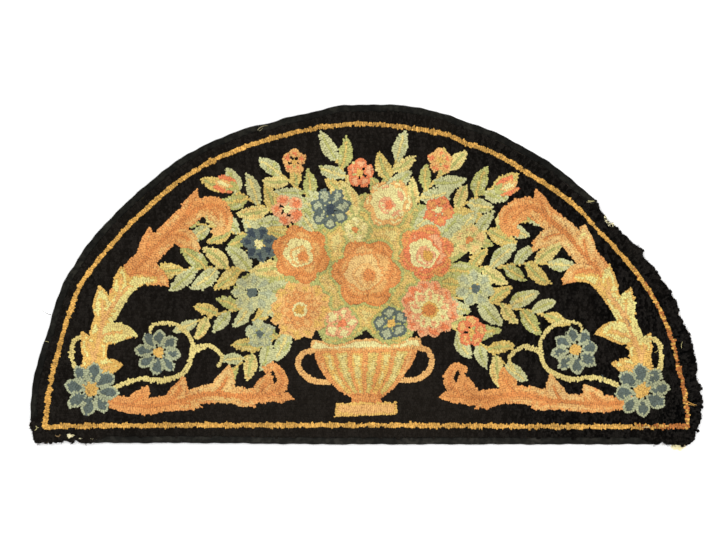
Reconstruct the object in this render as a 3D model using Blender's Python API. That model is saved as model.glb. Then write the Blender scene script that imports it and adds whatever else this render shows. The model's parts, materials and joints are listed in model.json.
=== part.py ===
"""Half-round hooked hearth rug, at its real size.

A burlap foundation is hooked full of wool loops and cut to a half round. A black cloth binding is folded
over its edge along the left of the arch, over the crown as far as a torn end on the right, and along most
of the base. The right of the arch and both corners are bare, so there the loops run out to a lumpy rim.

Lengths are in metres, +Z is up, and the rug lies on the plane Z = 0. The outline is worked out first with
its base on the line Y = 0, and the finished pieces are then moved so that the origin is under their middle.
"""

import math

import bmesh
import bpy
from mathutils import Vector

MILLIMETRE = 0.001

# Driving dimensions of the half round
LEFT_REACH = 0.714
RIGHT_REACH = 0.738
ARCH_HEIGHT = 0.723
CROWN_X = -0.014
MIDDLE = Vector((0.0, 0.30))

# The base line drops a little from its left third to its middle, because the rug was never quite true
BASE_DROP = 0.003
DROP_START = -0.40
DROP_LENGTH = 0.35

# Heights of the rug and its binding above the floor
PILE_TOP = 0.0090
FOUNDATION = 0.0020
BINDING_CLOTH = 0.0012
BINDING_FRONT = 0.0140
BINDING_BACK = 0.0160
BINDING_FOLD = 0.0008
GAP = 0.0003
RIM = BINDING_CLOTH + GAP
RIM_TOP = RIM + FOUNDATION
BINDING_TOP = RIM_TOP + GAP + BINDING_CLOTH

# How far the scissors strayed outwards from a true half ellipse, by angle round the arch from the right
HAND_CUT = (
    # degrees, millimetres outwards
    (0, -5.0),
    (8, 3.0),
    (18, 9.0),
    (27, 6.0),
    (35, -1.5),
    (41, -11.0),
    (45.5, -10.0),
    (46.2, -1.5),
    (60, 0.0),
    (81, 6.0),
    (92, 1.0),
    (99, -5.5),
    (106, -8.0),
    (118, 1.0),
    (132, 0.5),
    (147, 6.0),
    (158, 2.5),
    (172, -3.0),
    (180, -4.0),
)

# The edge in stretches, counter-clockwise from the left corner. Places on the base are metres along it,
# and places on the arch are degrees from the right. A bound stretch carries a length of binding.
STRETCHES = (
    # name, side, start, end, spacing of the sections, height of the rim's lumps
    ("left_corner_base", "base", -0.7175, -0.5900, 0.0075, 0.0022),
    ("binding_base", "base", -0.5850, 0.6150, 0.0400, 0.0),
    ("right_corner_base", "base", 0.6220, 0.7000, 0.0075, 0.0022),
    ("right_arch", "arch", 2.6, 45.5, 0.0075, 0.0036),
    ("binding_top", "arch", 46.2, 107.98, 0.0240, 0.0),
    ("binding_left", "arch", 108.02, 176.0, 0.0240, 0.0),
    ("left_corner_arch", "arch", 176.6, 178.8, 0.0075, 0.0022),
)
LUMP_WAVES = (
    # wave length, share of the height
    (0.0360, 0.6),
    (0.0215, 0.4),
)
LUMP_REACH = 0.012
CORNER_LUMP = 0.0022
SMALL_CORNER_LUMP = 0.0010
STEEPEST_SLANT = 0.3
SLANT_PASSES = 3

# The section across the edge, from the underside up and over on to the pile, at a bound edge and a bare one
EDGE_SECTION = (
    # name, bound inset, bound height, bare inset, bare height
    ("sole", BINDING_BACK + 0.0022, 0.0, 0.0080, 0.0),
    ("step", BINDING_BACK + GAP, RIM, 0.0030, 0.0),
    ("rim_under", RIM + 0.0004, RIM, 0.0012, 0.0007),
    ("rim_low", RIM, RIM + 0.0006, 0.0, 0.0025),
    ("rim_high", RIM, RIM_TOP - 0.0006, 0.0002, 0.0058),
    ("rim_over", RIM + 0.0004, RIM_TOP, 0.0016, 0.0078),
    ("pile_foot", BINDING_FRONT + 0.0005, RIM_TOP, 0.0042, 0.0087),
    ("pile_shoulder", BINDING_FRONT + 0.0012, 0.0071, 0.0080, PILE_TOP),
    ("pile_brow", BINDING_FRONT + 0.0036, PILE_TOP, 0.0160, PILE_TOP),
)
INNER_RINGS = (0.10, 0.26, 0.46, 0.70)
PILE_WAVES = (
    # height, waves per metre along X and along Y, phase
    (0.00045, 2.3, 1.7, 0.4),
    (0.00030, -3.1, 3.6, 2.1),
)

# Small places where the loops have worn away down to the burlap
WORN_SPOTS = (
    # name, along X, above the base, length, width, turn in degrees
    ("corner_hole_1", -0.667, 0.0165, 0.010, 0.008, 30),
    ("corner_hole_2", -0.637, 0.0170, 0.020, 0.010, -12),
    ("corner_hole_3", -0.613, 0.0110, 0.020, 0.005, -8),
    ("corner_hole_4", -0.596, 0.0100, 0.014, 0.005, 4),
    ("arch_hole", 0.478, 0.5190, 0.014, 0.006, -12),
)

# Frayed burlap that lies out from under the right corner, on a narrow strip where its threads are fused
TUFT_X = 0.672
TUFT_SETBACK = 0.0029
TUFT_WIDTH = 0.024
TUFT_STRANDS = 11
TUFT_STRAND = 0.0014
TUFT_SHORTEST = 0.0068
TUFT_LONGEST = 0.0150
TUFT_UNEVEN = 0.14
TUFT_SPLAY = 0.35
TUFT_ROOT = 0.0022
TUFT_THICKNESS = 0.0010

BLACK_WOOL = (0.011, 0.010, 0.010, 1.0)
BLACK_CLOTH = (0.019, 0.018, 0.019, 1.0)
BURLAP = (0.44, 0.33, 0.17, 1.0)


def clear_scene():
    for obj in list(bpy.data.objects):
        bpy.data.objects.remove(obj, do_unlink=True)


def new_collection(name):
    collection = bpy.data.collections.new(name)
    bpy.context.scene.collection.children.link(collection)
    return collection


def cloth_material(name, colour, roughness):
    material = bpy.data.materials.new(name)
    material.use_nodes = True
    shader = material.node_tree.nodes["Principled BSDF"]
    shader.inputs["Base Color"].default_value = colour
    shader.inputs["Roughness"].default_value = roughness
    shader.inputs["Metallic"].default_value = 0.0
    return material


def eased(share):
    """A share from 0 to 1 that starts and ends gently."""
    share = min(1.0, max(0.0, share))
    return share * share * (3 - 2 * share)


def hand_cut(angle):
    """How far the edge strays outwards at this angle, easing from one row of the table to the next."""
    for (start, start_out), (end, end_out) in zip(HAND_CUT, HAND_CUT[1:]):
        if angle <= end:
            out = start_out + (end_out - start_out) * eased((angle - start) / (end - start))
            return out * MILLIMETRE
    return HAND_CUT[-1][1] * MILLIMETRE


def arch_point(angle):
    reach = RIGHT_REACH if angle < 90 else LEFT_REACH
    turn = math.radians(angle)
    spoke = Vector((reach * math.cos(turn), ARCH_HEIGHT * math.sin(turn)))
    spoke *= 1 + hand_cut(angle) / spoke.length
    return Vector((CROWN_X, 0.0)) + spoke


def base_point(x):
    return Vector((x, -BASE_DROP * eased((x - DROP_START) / DROP_LENGTH)))


def corner_points(start, corner, end, count=4):
    """Points that round a corner off between the ends of two stretches, without those ends."""
    points = []
    for i in range(1, count + 1):
        share = i / (count + 1)
        points.append(start.lerp(corner, share).lerp(corner.lerp(end, share), share))
    return points


def stretch_points(side, start, end, spacing):
    if side == "base":
        length = end - start
    else:
        length = math.radians(end - start) * ARCH_HEIGHT
    steps = max(2, round(length / spacing))
    places = [start + (end - start) * i / steps for i in range(steps + 1)]
    return [base_point(x) if side == "base" else arch_point(x) for x in places]


def edge_stations():
    """The outline as a closed row of stations, each with its place, its stretch and its lump height."""
    stations = []
    for name, side, start, end, spacing, lump in STRETCHES:
        if name == "right_arch":
            corner = Vector((arch_point(0).x, base_point(RIGHT_REACH).y))
            turn = corner_points(stations[-1]["place"], corner, arch_point(start))
            stations += [{"place": p, "stretch": "right_corner", "lump": CORNER_LUMP} for p in turn]
        for place in stretch_points(side, start, end, spacing):
            stations.append({"place": place, "stretch": name, "lump": lump})
    corner = Vector((arch_point(180).x, 0.0))
    turn = corner_points(stations[-1]["place"], corner, stations[0]["place"], 2)
    stations += [{"place": p, "stretch": "left_corner", "lump": SMALL_CORNER_LUMP} for p in turn]
    return with_slants(with_lumps(stations))


def with_lumps(stations):
    """Adds how far each station of a bare edge bulges out, from two waves along the edge."""
    along = 0.0
    for before, station in zip(stations[-1:] + stations[:-1], stations):
        along += (station["place"] - before["place"]).length
        wave = sum(share * math.sin(2 * math.pi * along / length) for length, share in LUMP_WAVES)
        station["bulge"] = station["lump"] * wave
        station["bound"] = station["stretch"].startswith("binding")
    return stations


def with_slants(stations):
    """Adds the line from each station to the middle, and how much longer an inset is along it than square
    to the edge."""
    count = len(stations)
    for i, station in enumerate(stations):
        tangent = stations[(i + 1) % count]["place"] - stations[i - 1]["place"]
        inwards = Vector((-tangent.y, tangent.x)).normalized()
        station["line"] = (MIDDLE - station["place"]).normalized()
        station["slant"] = 1 / max(STEEPEST_SLANT, inwards.dot(station["line"]))
    for _ in range(SLANT_PASSES):
        slants = [station["slant"] for station in stations]
        for i, station in enumerate(stations):
            if not station["bound"]:
                station["slant"] = (slants[i - 1] + slants[i] + slants[(i + 1) % count]) / 3
    return stations


def place_in(station, inset, height, bulge_share=0.0):
    """A point this far in from the edge at a station, at this height."""
    along = inset * station["slant"] - station["bulge"] * bulge_share
    place = station["place"] + station["line"] * along
    return Vector((place.x, place.y, height))


def pile_height(x, y):
    """The top of the loops, which were never pulled up quite evenly."""
    waves = sum(
        height * math.sin(2 * math.pi * (along_x * x + along_y * y) + phase)
        for height, along_x, along_y, phase in PILE_WAVES
    )
    return PILE_TOP + waves


def edge_ring(stations, row):
    """One closed ring of the rug's edge, through each station's bound or bare section."""
    _, bound_inset, bound_height, bare_inset, bare_height = row
    ring = []
    for station in stations:
        if station["bound"]:
            point = place_in(station, bound_inset, bound_height)
        else:
            reach = max(0.0, 1 - bare_inset / LUMP_REACH)
            point = place_in(station, bare_inset, bare_height, reach)
        if point.z >= PILE_TOP:
            point.z = pile_height(point.x, point.y)
        ring.append(point)
    return ring


def inner_ring(brow, share):
    """A ring of the pile's top, this share of the way from its brow to the middle."""
    ring = []
    for point in brow:
        place = point.xy.lerp(MIDDLE, share)
        ring.append(Vector((place.x, place.y, pile_height(place.x, place.y))))
    return ring


def lofted(name, rings, collection, material, closed_rings=True):
    """A closed body through rows of points, with a flat cap on the first row and on the last one."""
    shape = bmesh.new()
    rows = [[shape.verts.new(point) for point in ring] for ring in rings]
    for near, far in zip(rows, rows[1:]):
        for i, vert in enumerate(near):
            j = (i + 1) % len(near)
            shape.faces.new((vert, near[j], far[j], far[i]))
    shape.faces.new(reversed(rows[0]))
    cap = shape.faces.new(rows[-1])
    if not closed_rings:
        bmesh.ops.poke(shape, faces=[cap], offset=0.0)
    bmesh.ops.recalc_face_normals(shape, faces=shape.faces)
    mesh = bpy.data.meshes.new(name)
    shape.to_mesh(mesh)
    shape.free()
    mesh.materials.append(material)
    mesh.shade_smooth()
    mesh.set_sharp_from_angle(angle=math.radians(40))
    obj = bpy.data.objects.new(name, mesh)
    collection.objects.link(obj)
    return obj


def make_rug(stations, collection, material):
    rings = [edge_ring(stations, row) for row in EDGE_SECTION]
    brow = rings[-1]
    rings += [inner_ring(brow, share) for share in INNER_RINGS]
    return lofted("hooked_rug", rings, collection, material, closed_rings=False)


def binding_section():
    """The binding's closed section, as (inset, height) pairs round its folded cloth."""
    return (
        (BINDING_BACK, 0.0),
        (BINDING_FOLD, 0.0),
        (0.0, BINDING_FOLD),
        (0.0, BINDING_TOP - BINDING_FOLD),
        (BINDING_FOLD, BINDING_TOP),
        (BINDING_FRONT, BINDING_TOP),
        (BINDING_FRONT, BINDING_TOP - BINDING_CLOTH),
        (BINDING_CLOTH, BINDING_TOP - BINDING_CLOTH),
        (BINDING_CLOTH, BINDING_CLOTH),
        (BINDING_BACK, BINDING_CLOTH),
    )


def make_binding(name, stations, collection, material):
    covered = [station for station in stations if station["stretch"] == name]
    rings = [
        [place_in(station, inset, height) for inset, height in binding_section()]
        for station in covered
    ]
    return lofted(name, rings, collection, material)


def make_worn_spot(name, x, y, length, width, turn, collection):
    """A flat ellipsoid that takes the loops away down to the burlap."""
    depth = PILE_TOP - FOUNDATION
    bpy.ops.mesh.primitive_uv_sphere_add(segments=12, ring_count=6, radius=1.0)
    cutter = bpy.context.object
    cutter.name = name
    cutter.scale = (length / 2, width / 2, depth)
    bpy.ops.object.transform_apply(location=False, rotation=False, scale=True)
    cutter.location = (x, y, PILE_TOP)
    cutter.rotation_euler.z = math.radians(turn)
    cutter.hide_render = True
    cutter.display_type = "WIRE"
    for owner in list(cutter.users_collection):
        owner.objects.unlink(cutter)
    collection.objects.link(cutter)
    return cutter


def wear_away(rug, cutter):
    hole = rug.modifiers.new(cutter.name, "BOOLEAN")
    hole.operation = "DIFFERENCE"
    hole.object = cutter


def make_tuft(collection, material):
    """Loose burlap threads on the floor, fused along a narrow strip beside the rug's edge."""
    root = base_point(TUFT_X).y - TUFT_SETBACK
    foot = root - TUFT_ROOT
    left = TUFT_X - TUFT_WIDTH / 2
    outline = [(left, root), (left, foot)]
    for i in range(TUFT_STRANDS):
        share = (i + 0.5) / TUFT_STRANDS
        reach = TUFT_SHORTEST + (TUFT_LONGEST - TUFT_SHORTEST) * math.sin(math.pi * share)
        reach *= 1 - TUFT_UNEVEN * (i % 2)
        middle = left + share * TUFT_WIDTH
        tip = middle + TUFT_SPLAY * (share - 0.5) * reach
        outline.append((middle - TUFT_STRAND / 2, foot))
        outline.append((tip - TUFT_STRAND / 4, foot - reach))
        outline.append((tip + TUFT_STRAND / 4, foot - reach))
        outline.append((middle + TUFT_STRAND / 2, foot))
    outline += [(left + TUFT_WIDTH, foot), (left + TUFT_WIDTH, root)]

    curve = bpy.data.curves.new("burlap_tuft", "CURVE")
    curve.dimensions = "2D"
    curve.fill_mode = "BOTH"
    curve.extrude = TUFT_THICKNESS / 2
    spline = curve.splines.new("POLY")
    spline.points.add(len(outline) - 1)
    for point, (x, y) in zip(spline.points, outline):
        point.co = (x, y, 0.0, 1.0)
    spline.use_cyclic_u = True
    curve.materials.append(material)
    tuft = bpy.data.objects.new("burlap_tuft", curve)
    tuft.location.z = TUFT_THICKNESS / 2
    collection.objects.link(tuft)
    return tuft


def move_to_middle(collections):
    """Moves every piece so that the origin is on the floor under the middle of the rug's box."""
    bpy.context.view_layer.update()
    pieces = [obj for obj in collections[0].objects]
    corners = [obj.matrix_world @ Vector(corner) for obj in pieces for corner in obj.bound_box]
    shift = Vector(
        (
            -(min(c.x for c in corners) + max(c.x for c in corners)) / 2,
            -(min(c.y for c in corners) + max(c.y for c in corners)) / 2,
            0.0,
        )
    )
    for collection in collections:
        for obj in collection.objects:
            obj.location += shift


def main():
    clear_scene()
    rug_parts = new_collection("hooked_hearth_rug")
    cutters = new_collection("cutters")
    wool = cloth_material("hooked_wool", BLACK_WOOL, 0.95)
    cloth = cloth_material("binding_cloth", BLACK_CLOTH, 0.9)
    burlap = cloth_material("burlap", BURLAP, 0.9)

    stations = edge_stations()
    rug = make_rug(stations, rug_parts, wool)
    for name, x, y, length, width, turn in WORN_SPOTS:
        wear_away(rug, make_worn_spot(name, x, y, length, width, turn, cutters))
    for name in ("binding_left", "binding_top", "binding_base"):
        make_binding(name, stations, rug_parts, cloth)
    make_tuft(rug_parts, burlap)
    move_to_middle((rug_parts, cutters))


main()
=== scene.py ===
"""Looks of a half-round hooked hearth rug: a flower design in wool loops on burlap, bound in black cloth.

The design is drawn on a grid over the burlap, as a rug maker draws it with a crayon. The loops are then
hooked in rows that follow every shape's edge, or run level across the black ground, and each loop becomes
real geometry of its own wool. Design lengths are in centimetres, along and above the middle of the base.
"""

import json
import math

import bpy
import numpy as np
from bpy.props import FloatProperty, FloatVectorProperty, PointerProperty
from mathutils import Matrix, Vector
from mathutils.bvhtree import BVHTree

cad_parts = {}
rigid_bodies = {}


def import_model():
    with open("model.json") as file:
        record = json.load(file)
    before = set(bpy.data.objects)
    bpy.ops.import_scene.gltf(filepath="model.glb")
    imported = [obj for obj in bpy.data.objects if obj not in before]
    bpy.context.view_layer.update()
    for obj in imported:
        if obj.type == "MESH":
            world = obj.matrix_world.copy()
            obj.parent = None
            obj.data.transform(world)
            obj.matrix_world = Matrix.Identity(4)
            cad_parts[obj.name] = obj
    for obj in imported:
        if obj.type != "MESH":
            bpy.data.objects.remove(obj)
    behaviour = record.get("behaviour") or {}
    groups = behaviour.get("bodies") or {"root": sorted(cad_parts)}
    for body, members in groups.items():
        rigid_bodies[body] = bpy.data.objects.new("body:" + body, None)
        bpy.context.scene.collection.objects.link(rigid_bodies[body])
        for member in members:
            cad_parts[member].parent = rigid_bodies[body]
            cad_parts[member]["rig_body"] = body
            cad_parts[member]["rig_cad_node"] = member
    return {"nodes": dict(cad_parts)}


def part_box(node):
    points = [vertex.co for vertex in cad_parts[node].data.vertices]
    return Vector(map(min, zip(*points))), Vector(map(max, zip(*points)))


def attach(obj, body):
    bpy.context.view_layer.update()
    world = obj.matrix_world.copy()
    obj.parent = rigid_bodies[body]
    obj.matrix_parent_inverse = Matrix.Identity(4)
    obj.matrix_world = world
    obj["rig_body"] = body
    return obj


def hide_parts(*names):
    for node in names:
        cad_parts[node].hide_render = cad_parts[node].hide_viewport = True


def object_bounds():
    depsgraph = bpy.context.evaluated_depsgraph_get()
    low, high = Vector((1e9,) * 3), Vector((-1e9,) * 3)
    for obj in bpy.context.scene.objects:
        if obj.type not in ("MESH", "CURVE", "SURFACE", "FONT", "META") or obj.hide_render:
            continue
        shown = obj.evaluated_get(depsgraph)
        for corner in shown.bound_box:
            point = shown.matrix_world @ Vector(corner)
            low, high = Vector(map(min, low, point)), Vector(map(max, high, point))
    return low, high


bl_info = {
    "name": "Half-round hooked hearth rug",
    "version": (1, 0, 0),
    "blender": (4, 5, 0),
    "location": "View3D > Sidebar > Hearth Rug",
    "description": "Hooks, binds and lights a half-round flower rug",
    "category": "Object",
}

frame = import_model()
CAD_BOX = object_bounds()
SOLIDS = frame["nodes"]

CM = 0.01
MM = 0.001

# The base line, from the frame: the base binding isn't quite straight and bulges this far past it
BASE_BULGE = 0.003
BASE_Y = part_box("binding_base")[0].y + BASE_BULGE

# The way out to the rim, or round it, is taken from this far up the rug's middle
MIDDLE_Y = BASE_Y + 0.30

# The grid that the design is drawn on
GRID_CELL = 0.001
GRID_MARGIN = 0.01
GRID_LOW = Vector((CAD_BOX[0].x - GRID_MARGIN, CAD_BOX[0].y - GRID_MARGIN))
GRID_SIZE = (
    math.ceil((CAD_BOX[1].y + GRID_MARGIN - GRID_LOW.y) / GRID_CELL),
    math.ceil((CAD_BOX[1].x + GRID_MARGIN - GRID_LOW.x) / GRID_CELL),
)

# Every chance value is drawn from this seed, or from one counted on from it
SEED = 1907

# Middle of the gold line: round the arch, seen from the middle of the base, and then along the base, in
# centimetres along and above it
GOLD_ARCH = (
    # degrees, centimetres out, millimetres wide
    (2.9, 69.3, 9.0),
    (8, 69.3, 8.8),
    (15, 69.2, 8.0),
    (22, 69.4, 9.0),
    (29, 68.9, 9.8),
    (36, 68.1, 9.8),
    (43, 67.6, 9.6),
    (50, 67.9, 10.0),
    (64, 67.9, 10.4),
    (71, 67.9, 9.8),
    (78, 68.4, 8.6),
    (92, 68.5, 8.8),
    (106, 68.4, 9.0),
    (120, 69.0, 10.0),
    (134, 69.0, 10.2),
    (148, 69.8, 10.0),
    (155, 69.7, 10.2),
    (169, 69.0, 9.6),
    (177.2, 69.1, 10.8),
)
GOLD_BASE = ((-50, 3.7), (-20, 3.8), (10, 3.75), (30, 3.5), (50, 3.5))
GOLD_BASE_WIDTH = 10.2

# Below this height, in centimetres, the gold line is the one along the base
GOLD_BASE_BELOW = 5.5

# The gold line's width swells and thins by this share, and loses this much of it where it is worn thin
GOLD_SWELL = 0.16
GOLD_WORN_OFF = 0.45

# The middle of the spot where it is worn thin, along and above the base, and how far round, in centimetres
WORN_THIN = (49.7, 45.9, 1.6)

# Right of and below these, in metres, the gold line's loops have gone frizzy
FRIZZY = (0.585, -0.131)

# Share of its loops that are worn to amber, by how far right they are, in metres
AMBER_FROM = (0.56, 0.63, 0.68)
AMBER_SHARE = (0.0, 0.4, 0.65)

# How far the edge has drawn in from where its solid has it, round the arch and along the base
DRAWN_IN_ARCH = (
    # degrees, millimetres
    (0, 13), (2, 12), (3, 4.5), (4, 5), (5, 2), (7, 0), (9, -1.5), (10, 3), (11, 5.5), (12.5, 4), (14, -1),
    (15.5, 4), (17, -0.5), (18, 3), (19, 0), (21, 6), (22, 5), (23, 1), (25, -3), (26.5, 1.5), (28, 0),
    (29, 6.5), (31, 0), (32.5, 4.5), (34, 2), (35, -1), (37, 3), (38, 4), (40, 0.5), (41.5, 3.5), (43, 6),
    (45, 2.5), (46, -6), (46.6, 2.5), (51, 3), (54, 1), (57, 0), (62, 1.5), (67, -1.5), (70, 0.5), (72.5, 3),
    (75, 0.5), (80, -1), (90, -1), (95, -2), (99, 1), (104, 0), (107, 2), (110, -2.5), (114, 1), (119, 1),
    (124, -0.5), (130, 1), (137, 0.5), (143, -0.5), (149, 0), (152, -4), (154, -1), (157, 1), (160, 6),
    (161.5, 4.5), (164, 2.5), (167, 0), (170, -2.5), (174, -0.5), (177, 2), (178, 4), (179, 8.5), (180, 9),
)
DRAWN_IN_BASE = (
    # centimetres along, millimetres deep, half width in centimetres
    (-67.5, 4.0, 0.9),
    (-64.6, 7.0, 0.8),
    (-62.4, 8.0, 0.5),
    (63.6, 6.0, 0.5),
)

# The drawing-in grows from nothing to all of it between these distances out, and fades out this far
# above the base
RIM_BAND = (0.676, 0.706)
BASE_BAND = 0.022

# Ovals where the pile has worn away down to the burlap, in centimetres and degrees
WORN_SPOTS = (
    # along, above the base, length, width, turn
    (-63.5, 1.42, 1.9, 1.05, 8),
    (-61.1, 0.78, 2.4, 0.40, -6),
    (-58.4, 0.74, 2.0, 0.42, 0),
    (-66.2, 1.45, 1.5, 0.85, 30),
)

# Where the bare edge is torn open: along, above the base, and how far round, in centimetres
TORN_EDGE = (52.2, 47.5, 1.1)

# The shapes that are there before the design is drawn, by their numbers on the grid
BARE, GROUND, BORDER, GOLD_LINE = -1, 0, 1, 2


class RugSizes(bpy.types.PropertyGroup):
    """Sizes of the hooking."""

    row_spacing: FloatProperty(
        name="Row spacing",
        description="Distance between one row of loops and the next",
        default=0.00525,
        unit="LENGTH",
    )
    loop_spacing: FloatProperty(
        name="Loop spacing",
        description="Distance between loops along a row",
        default=0.0047,
        unit="LENGTH",
    )
    unevenness: FloatProperty(
        name="Unevenness",
        description="How far a loop may stand above or below its neighbours",
        default=0.0005,
        unit="LENGTH",
    )


def wool_colour(name, description, red, green, blue):
    """A property for one wool's colour, given as the eye sees it, from 0 to 255."""
    return FloatVectorProperty(
        name=name,
        description=description,
        default=(red / 255, green / 255, blue / 255),
        subtype="COLOR_GAMMA",
        min=0,
        max=1,
    )


class RugWools(bpy.types.PropertyGroup):
    """Colours of the wools and cloths."""

    black: wool_colour("Black", "Ground and border", 5, 4.4, 3.8)
    gold: wool_colour("Gold", "Border line", 189, 144, 66)
    amber: wool_colour("Amber", "Border line where it is worn", 154, 92, 35)
    old_gold: wool_colour("Old gold", "Leaf bases and flower hearts", 222, 160, 83)
    peach: wool_colour("Peach", "Leaf sprays and petals", 242, 157, 93)
    apricot: wool_colour("Apricot", "Lights of the leaf sprays", 250, 170, 108)
    salmon: wool_colour("Salmon", "Edges of the leaf sprays", 226, 138, 75)
    rust: wool_colour("Rust", "Veins and shadows", 190, 122, 62)
    coral: wool_colour("Coral", "Outer petals", 235, 116, 71)
    rose: wool_colour("Rose", "Pink petals", 253, 150, 106)
    wheat: wool_colour("Wheat", "Brightest lights of the leaf sprays", 250, 196, 122)
    cream: wool_colour("Cream", "Lights of the petals", 253, 201, 135)
    straw: wool_colour("Straw", "Tendrils", 210, 181, 113)
    olive: wool_colour("Olive", "Leaves, the yellow side", 188, 164, 90)
    lime: wool_colour("Lime", "Lights of the leaves", 197, 164, 96)
    leaf: wool_colour("Leaf green", "Leaves, the green side", 158, 158, 92)
    mint: wool_colour("Mint", "Pale leaves", 174, 174, 127)
    pale_blue: wool_colour("Pale blue", "Lights of the blue flowers", 153, 158, 126)
    slate: wool_colour("Slate blue", "Blue flowers", 80, 91, 85)
    navy: wool_colour("Navy", "Shadows of the blue flowers", 43, 55, 64)
    drab: wool_colour("Drab", "Loose ends", 154, 145, 108)


WOOLS = tuple(RugWools.__annotations__)


# Drawing on the grid


def grid_points(points):
    """Places on the rug, in metres, as columns and rows of the grid."""
    return (np.array(points, float) - GRID_LOW[:]) / GRID_CELL


def covered(outline):
    """The grid rows from and to which a closed outline, in metres, reaches, and the cells inside it."""
    height, width = GRID_SIZE
    x, y = grid_points(outline).T
    x_next, y_next = np.roll(x, -1), np.roll(y, -1)
    low = int(np.clip(np.floor(y.min()), 0, height))
    high = int(np.clip(np.ceil(y.max()) + 1, 0, height))
    rows = np.arange(low, high)
    edge, row = np.nonzero((y[:, None] <= rows) != (y_next[:, None] <= rows))
    share = (rows[row] - y[edge]) / (y_next[edge] - y[edge])
    column = np.clip(np.ceil(x[edge] + share * (x_next[edge] - x[edge])), 0, width)
    turns = np.zeros((len(rows), width + 1), int)
    np.add.at(turns, (row, column.astype(int)), np.where(y_next[edge] > y[edge], 1, -1))
    return low, high, turns.cumsum(1)[:, :-1] != 0


def solid_cover(*nodes):
    """The cells that these solids cover, seen from above. Their upright walls cover none."""
    upright = 0.05
    cover = np.zeros(GRID_SIZE, bool)
    for name in nodes:
        mesh = SOLIDS[name].data
        corners = np.array([v.co.xy for v in mesh.vertices])
        for face in mesh.polygons:
            if abs(face.normal.z) > upright:
                low, high, inside = covered(corners[list(face.vertices)])
                cover[low:high] |= inside
    return cover


def drawn_in(x, y):
    """How far, and which way, the edge has drawn in near these places, as the way back out to the solid's
    own edge. It fades out towards the gold line."""
    above = y - BASE_Y
    out = np.hypot(x, above) + 1e-9
    degrees = np.degrees(np.arctan2(above, x))
    degrees = np.where(degrees < -90, degrees + 360, degrees)
    near_rim = np.clip((out - RIM_BAND[0]) / (RIM_BAND[1] - RIM_BAND[0]), 0, 1)
    near_base = np.clip(1 - above / BASE_BAND, 0, 1)
    arch = np.interp(degrees, *zip(*DRAWN_IN_ARCH)) * MM * near_rim
    base = sum(
        depth * MM * np.exp(-(((x / CM - along) / half) ** 2)) for along, depth, half in DRAWN_IN_BASE
    ) * near_base
    return arch * x / out, arch * above / out - base


def nearest_edges(labels, reach):
    """For every cell, the row and column of the nearest cell where one shape meets another and how far it
    is. Each cell's best answer is passed on to its neighbours, first far off and then close by."""
    edge = np.zeros(labels.shape, bool)
    for one, other in ((np.s_[1:], np.s_[:-1]), (np.s_[:, :-1], np.s_[:, 1:])):
        differs = labels[one] != labels[other]
        edge[one] |= differs
        edge[other] |= differs
    row, column = np.indices(labels.shape, dtype=np.float32)
    unknown = -1e4
    near_row = np.where(edge, row, unknown).astype(np.float32)
    near_column = np.where(edge, column, unknown).astype(np.float32)
    best = np.hypot(near_row - row, near_column - column)
    step = reach
    while step >= 1:
        for shift_row in (-step, 0, step):
            for shift_column in (-step, 0, step):
                to_row, from_row = overlap(shift_row)
                to_column, from_column = overlap(shift_column)
                to, source = (to_row, to_column), (from_row, from_column)
                distance = np.hypot(
                    near_row[source] - row[to], near_column[source] - column[to]
                )
                closer = distance < best[to]
                best[to][closer] = distance[closer]
                near_row[to][closer] = near_row[source][closer]
                near_column[to][closer] = near_column[source][closer]
        step //= 2
    return near_row, near_column, (best + 0.5) * GRID_CELL


def overlap(shift):
    """The slices of a row of cells, and of the same row moved along by this much, that lie together."""
    if shift > 0:
        return slice(None, -shift), slice(shift, None)
    if shift < 0:
        return slice(-shift, None), slice(None, shift)
    return slice(None), slice(None)


def smoothed(field, passes):
    """A field with every cell evened out with its four neighbours, this many times."""
    field = field.copy()
    for _ in range(passes):
        field[1:-1, 1:-1] = (
            field[1:-1, 1:-1]
            + field[:-2, 1:-1]
            + field[2:, 1:-1]
            + field[1:-1, :-2]
            + field[1:-1, 2:]
        ) / 5
    return field


def uphill(depth):
    """The direction in which the depth grows fastest, smoothed over a few cells."""
    along_y, along_x = (smoothed(part, passes=4) for part in np.gradient(depth))
    length = np.hypot(along_x, along_y) + 1e-12
    return along_x / length, along_y / length


# Shapes of the design, in centimetres


def heading(degrees):
    """The unit direction at this angle from the base line."""
    return np.array((math.cos(math.radians(degrees)), math.sin(math.radians(degrees))))


def smooth_line(points, steps=12):
    """A smooth line through given points, with this many steps between two of them."""
    points = np.array(points, float)
    ends = np.vstack((2 * points[0] - points[1], points, 2 * points[-1] - points[-2]))
    line = []
    for a, b, c, d in zip(ends, ends[1:], ends[2:], ends[3:]):
        for t in np.arange(steps) / steps:
            line.append(
                0.5 * (2 * b + (c - a) * t + (2 * a - 5 * b + 4 * c - d) * t**2
                       + (3 * b - 3 * c + d - a) * t**3)
            )
    return np.array(line + [points[-1]])


def arc(x, y, degrees, length, curl, steps=14):
    """A line that sets off at this heading and bends evenly by curl degrees over its length."""
    turns = np.radians(degrees + curl * (np.arange(steps) + 0.5) / steps)
    walk = np.column_stack((np.cos(turns), np.sin(turns))) * length / steps
    return np.vstack(((x, y), (x, y) + walk.cumsum(0)))


def sides_of(line):
    """The unit direction square to a line at each of its points, to its left."""
    along = np.gradient(line, axis=0)
    along /= np.linalg.norm(along, axis=1, keepdims=True) + 1e-9
    return np.column_stack((-along[:, 1], along[:, 0]))


def strip(line, widths):
    """The outline of a band along a line, with these widths from its start to its end."""
    share = np.linspace(0, 1, len(line))
    half = np.interp(share, np.linspace(0, 1, len(widths)), widths) / 2
    aside = sides_of(line) * half[:, None]
    return np.vstack((line + aside, (line - aside)[::-1]))


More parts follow.
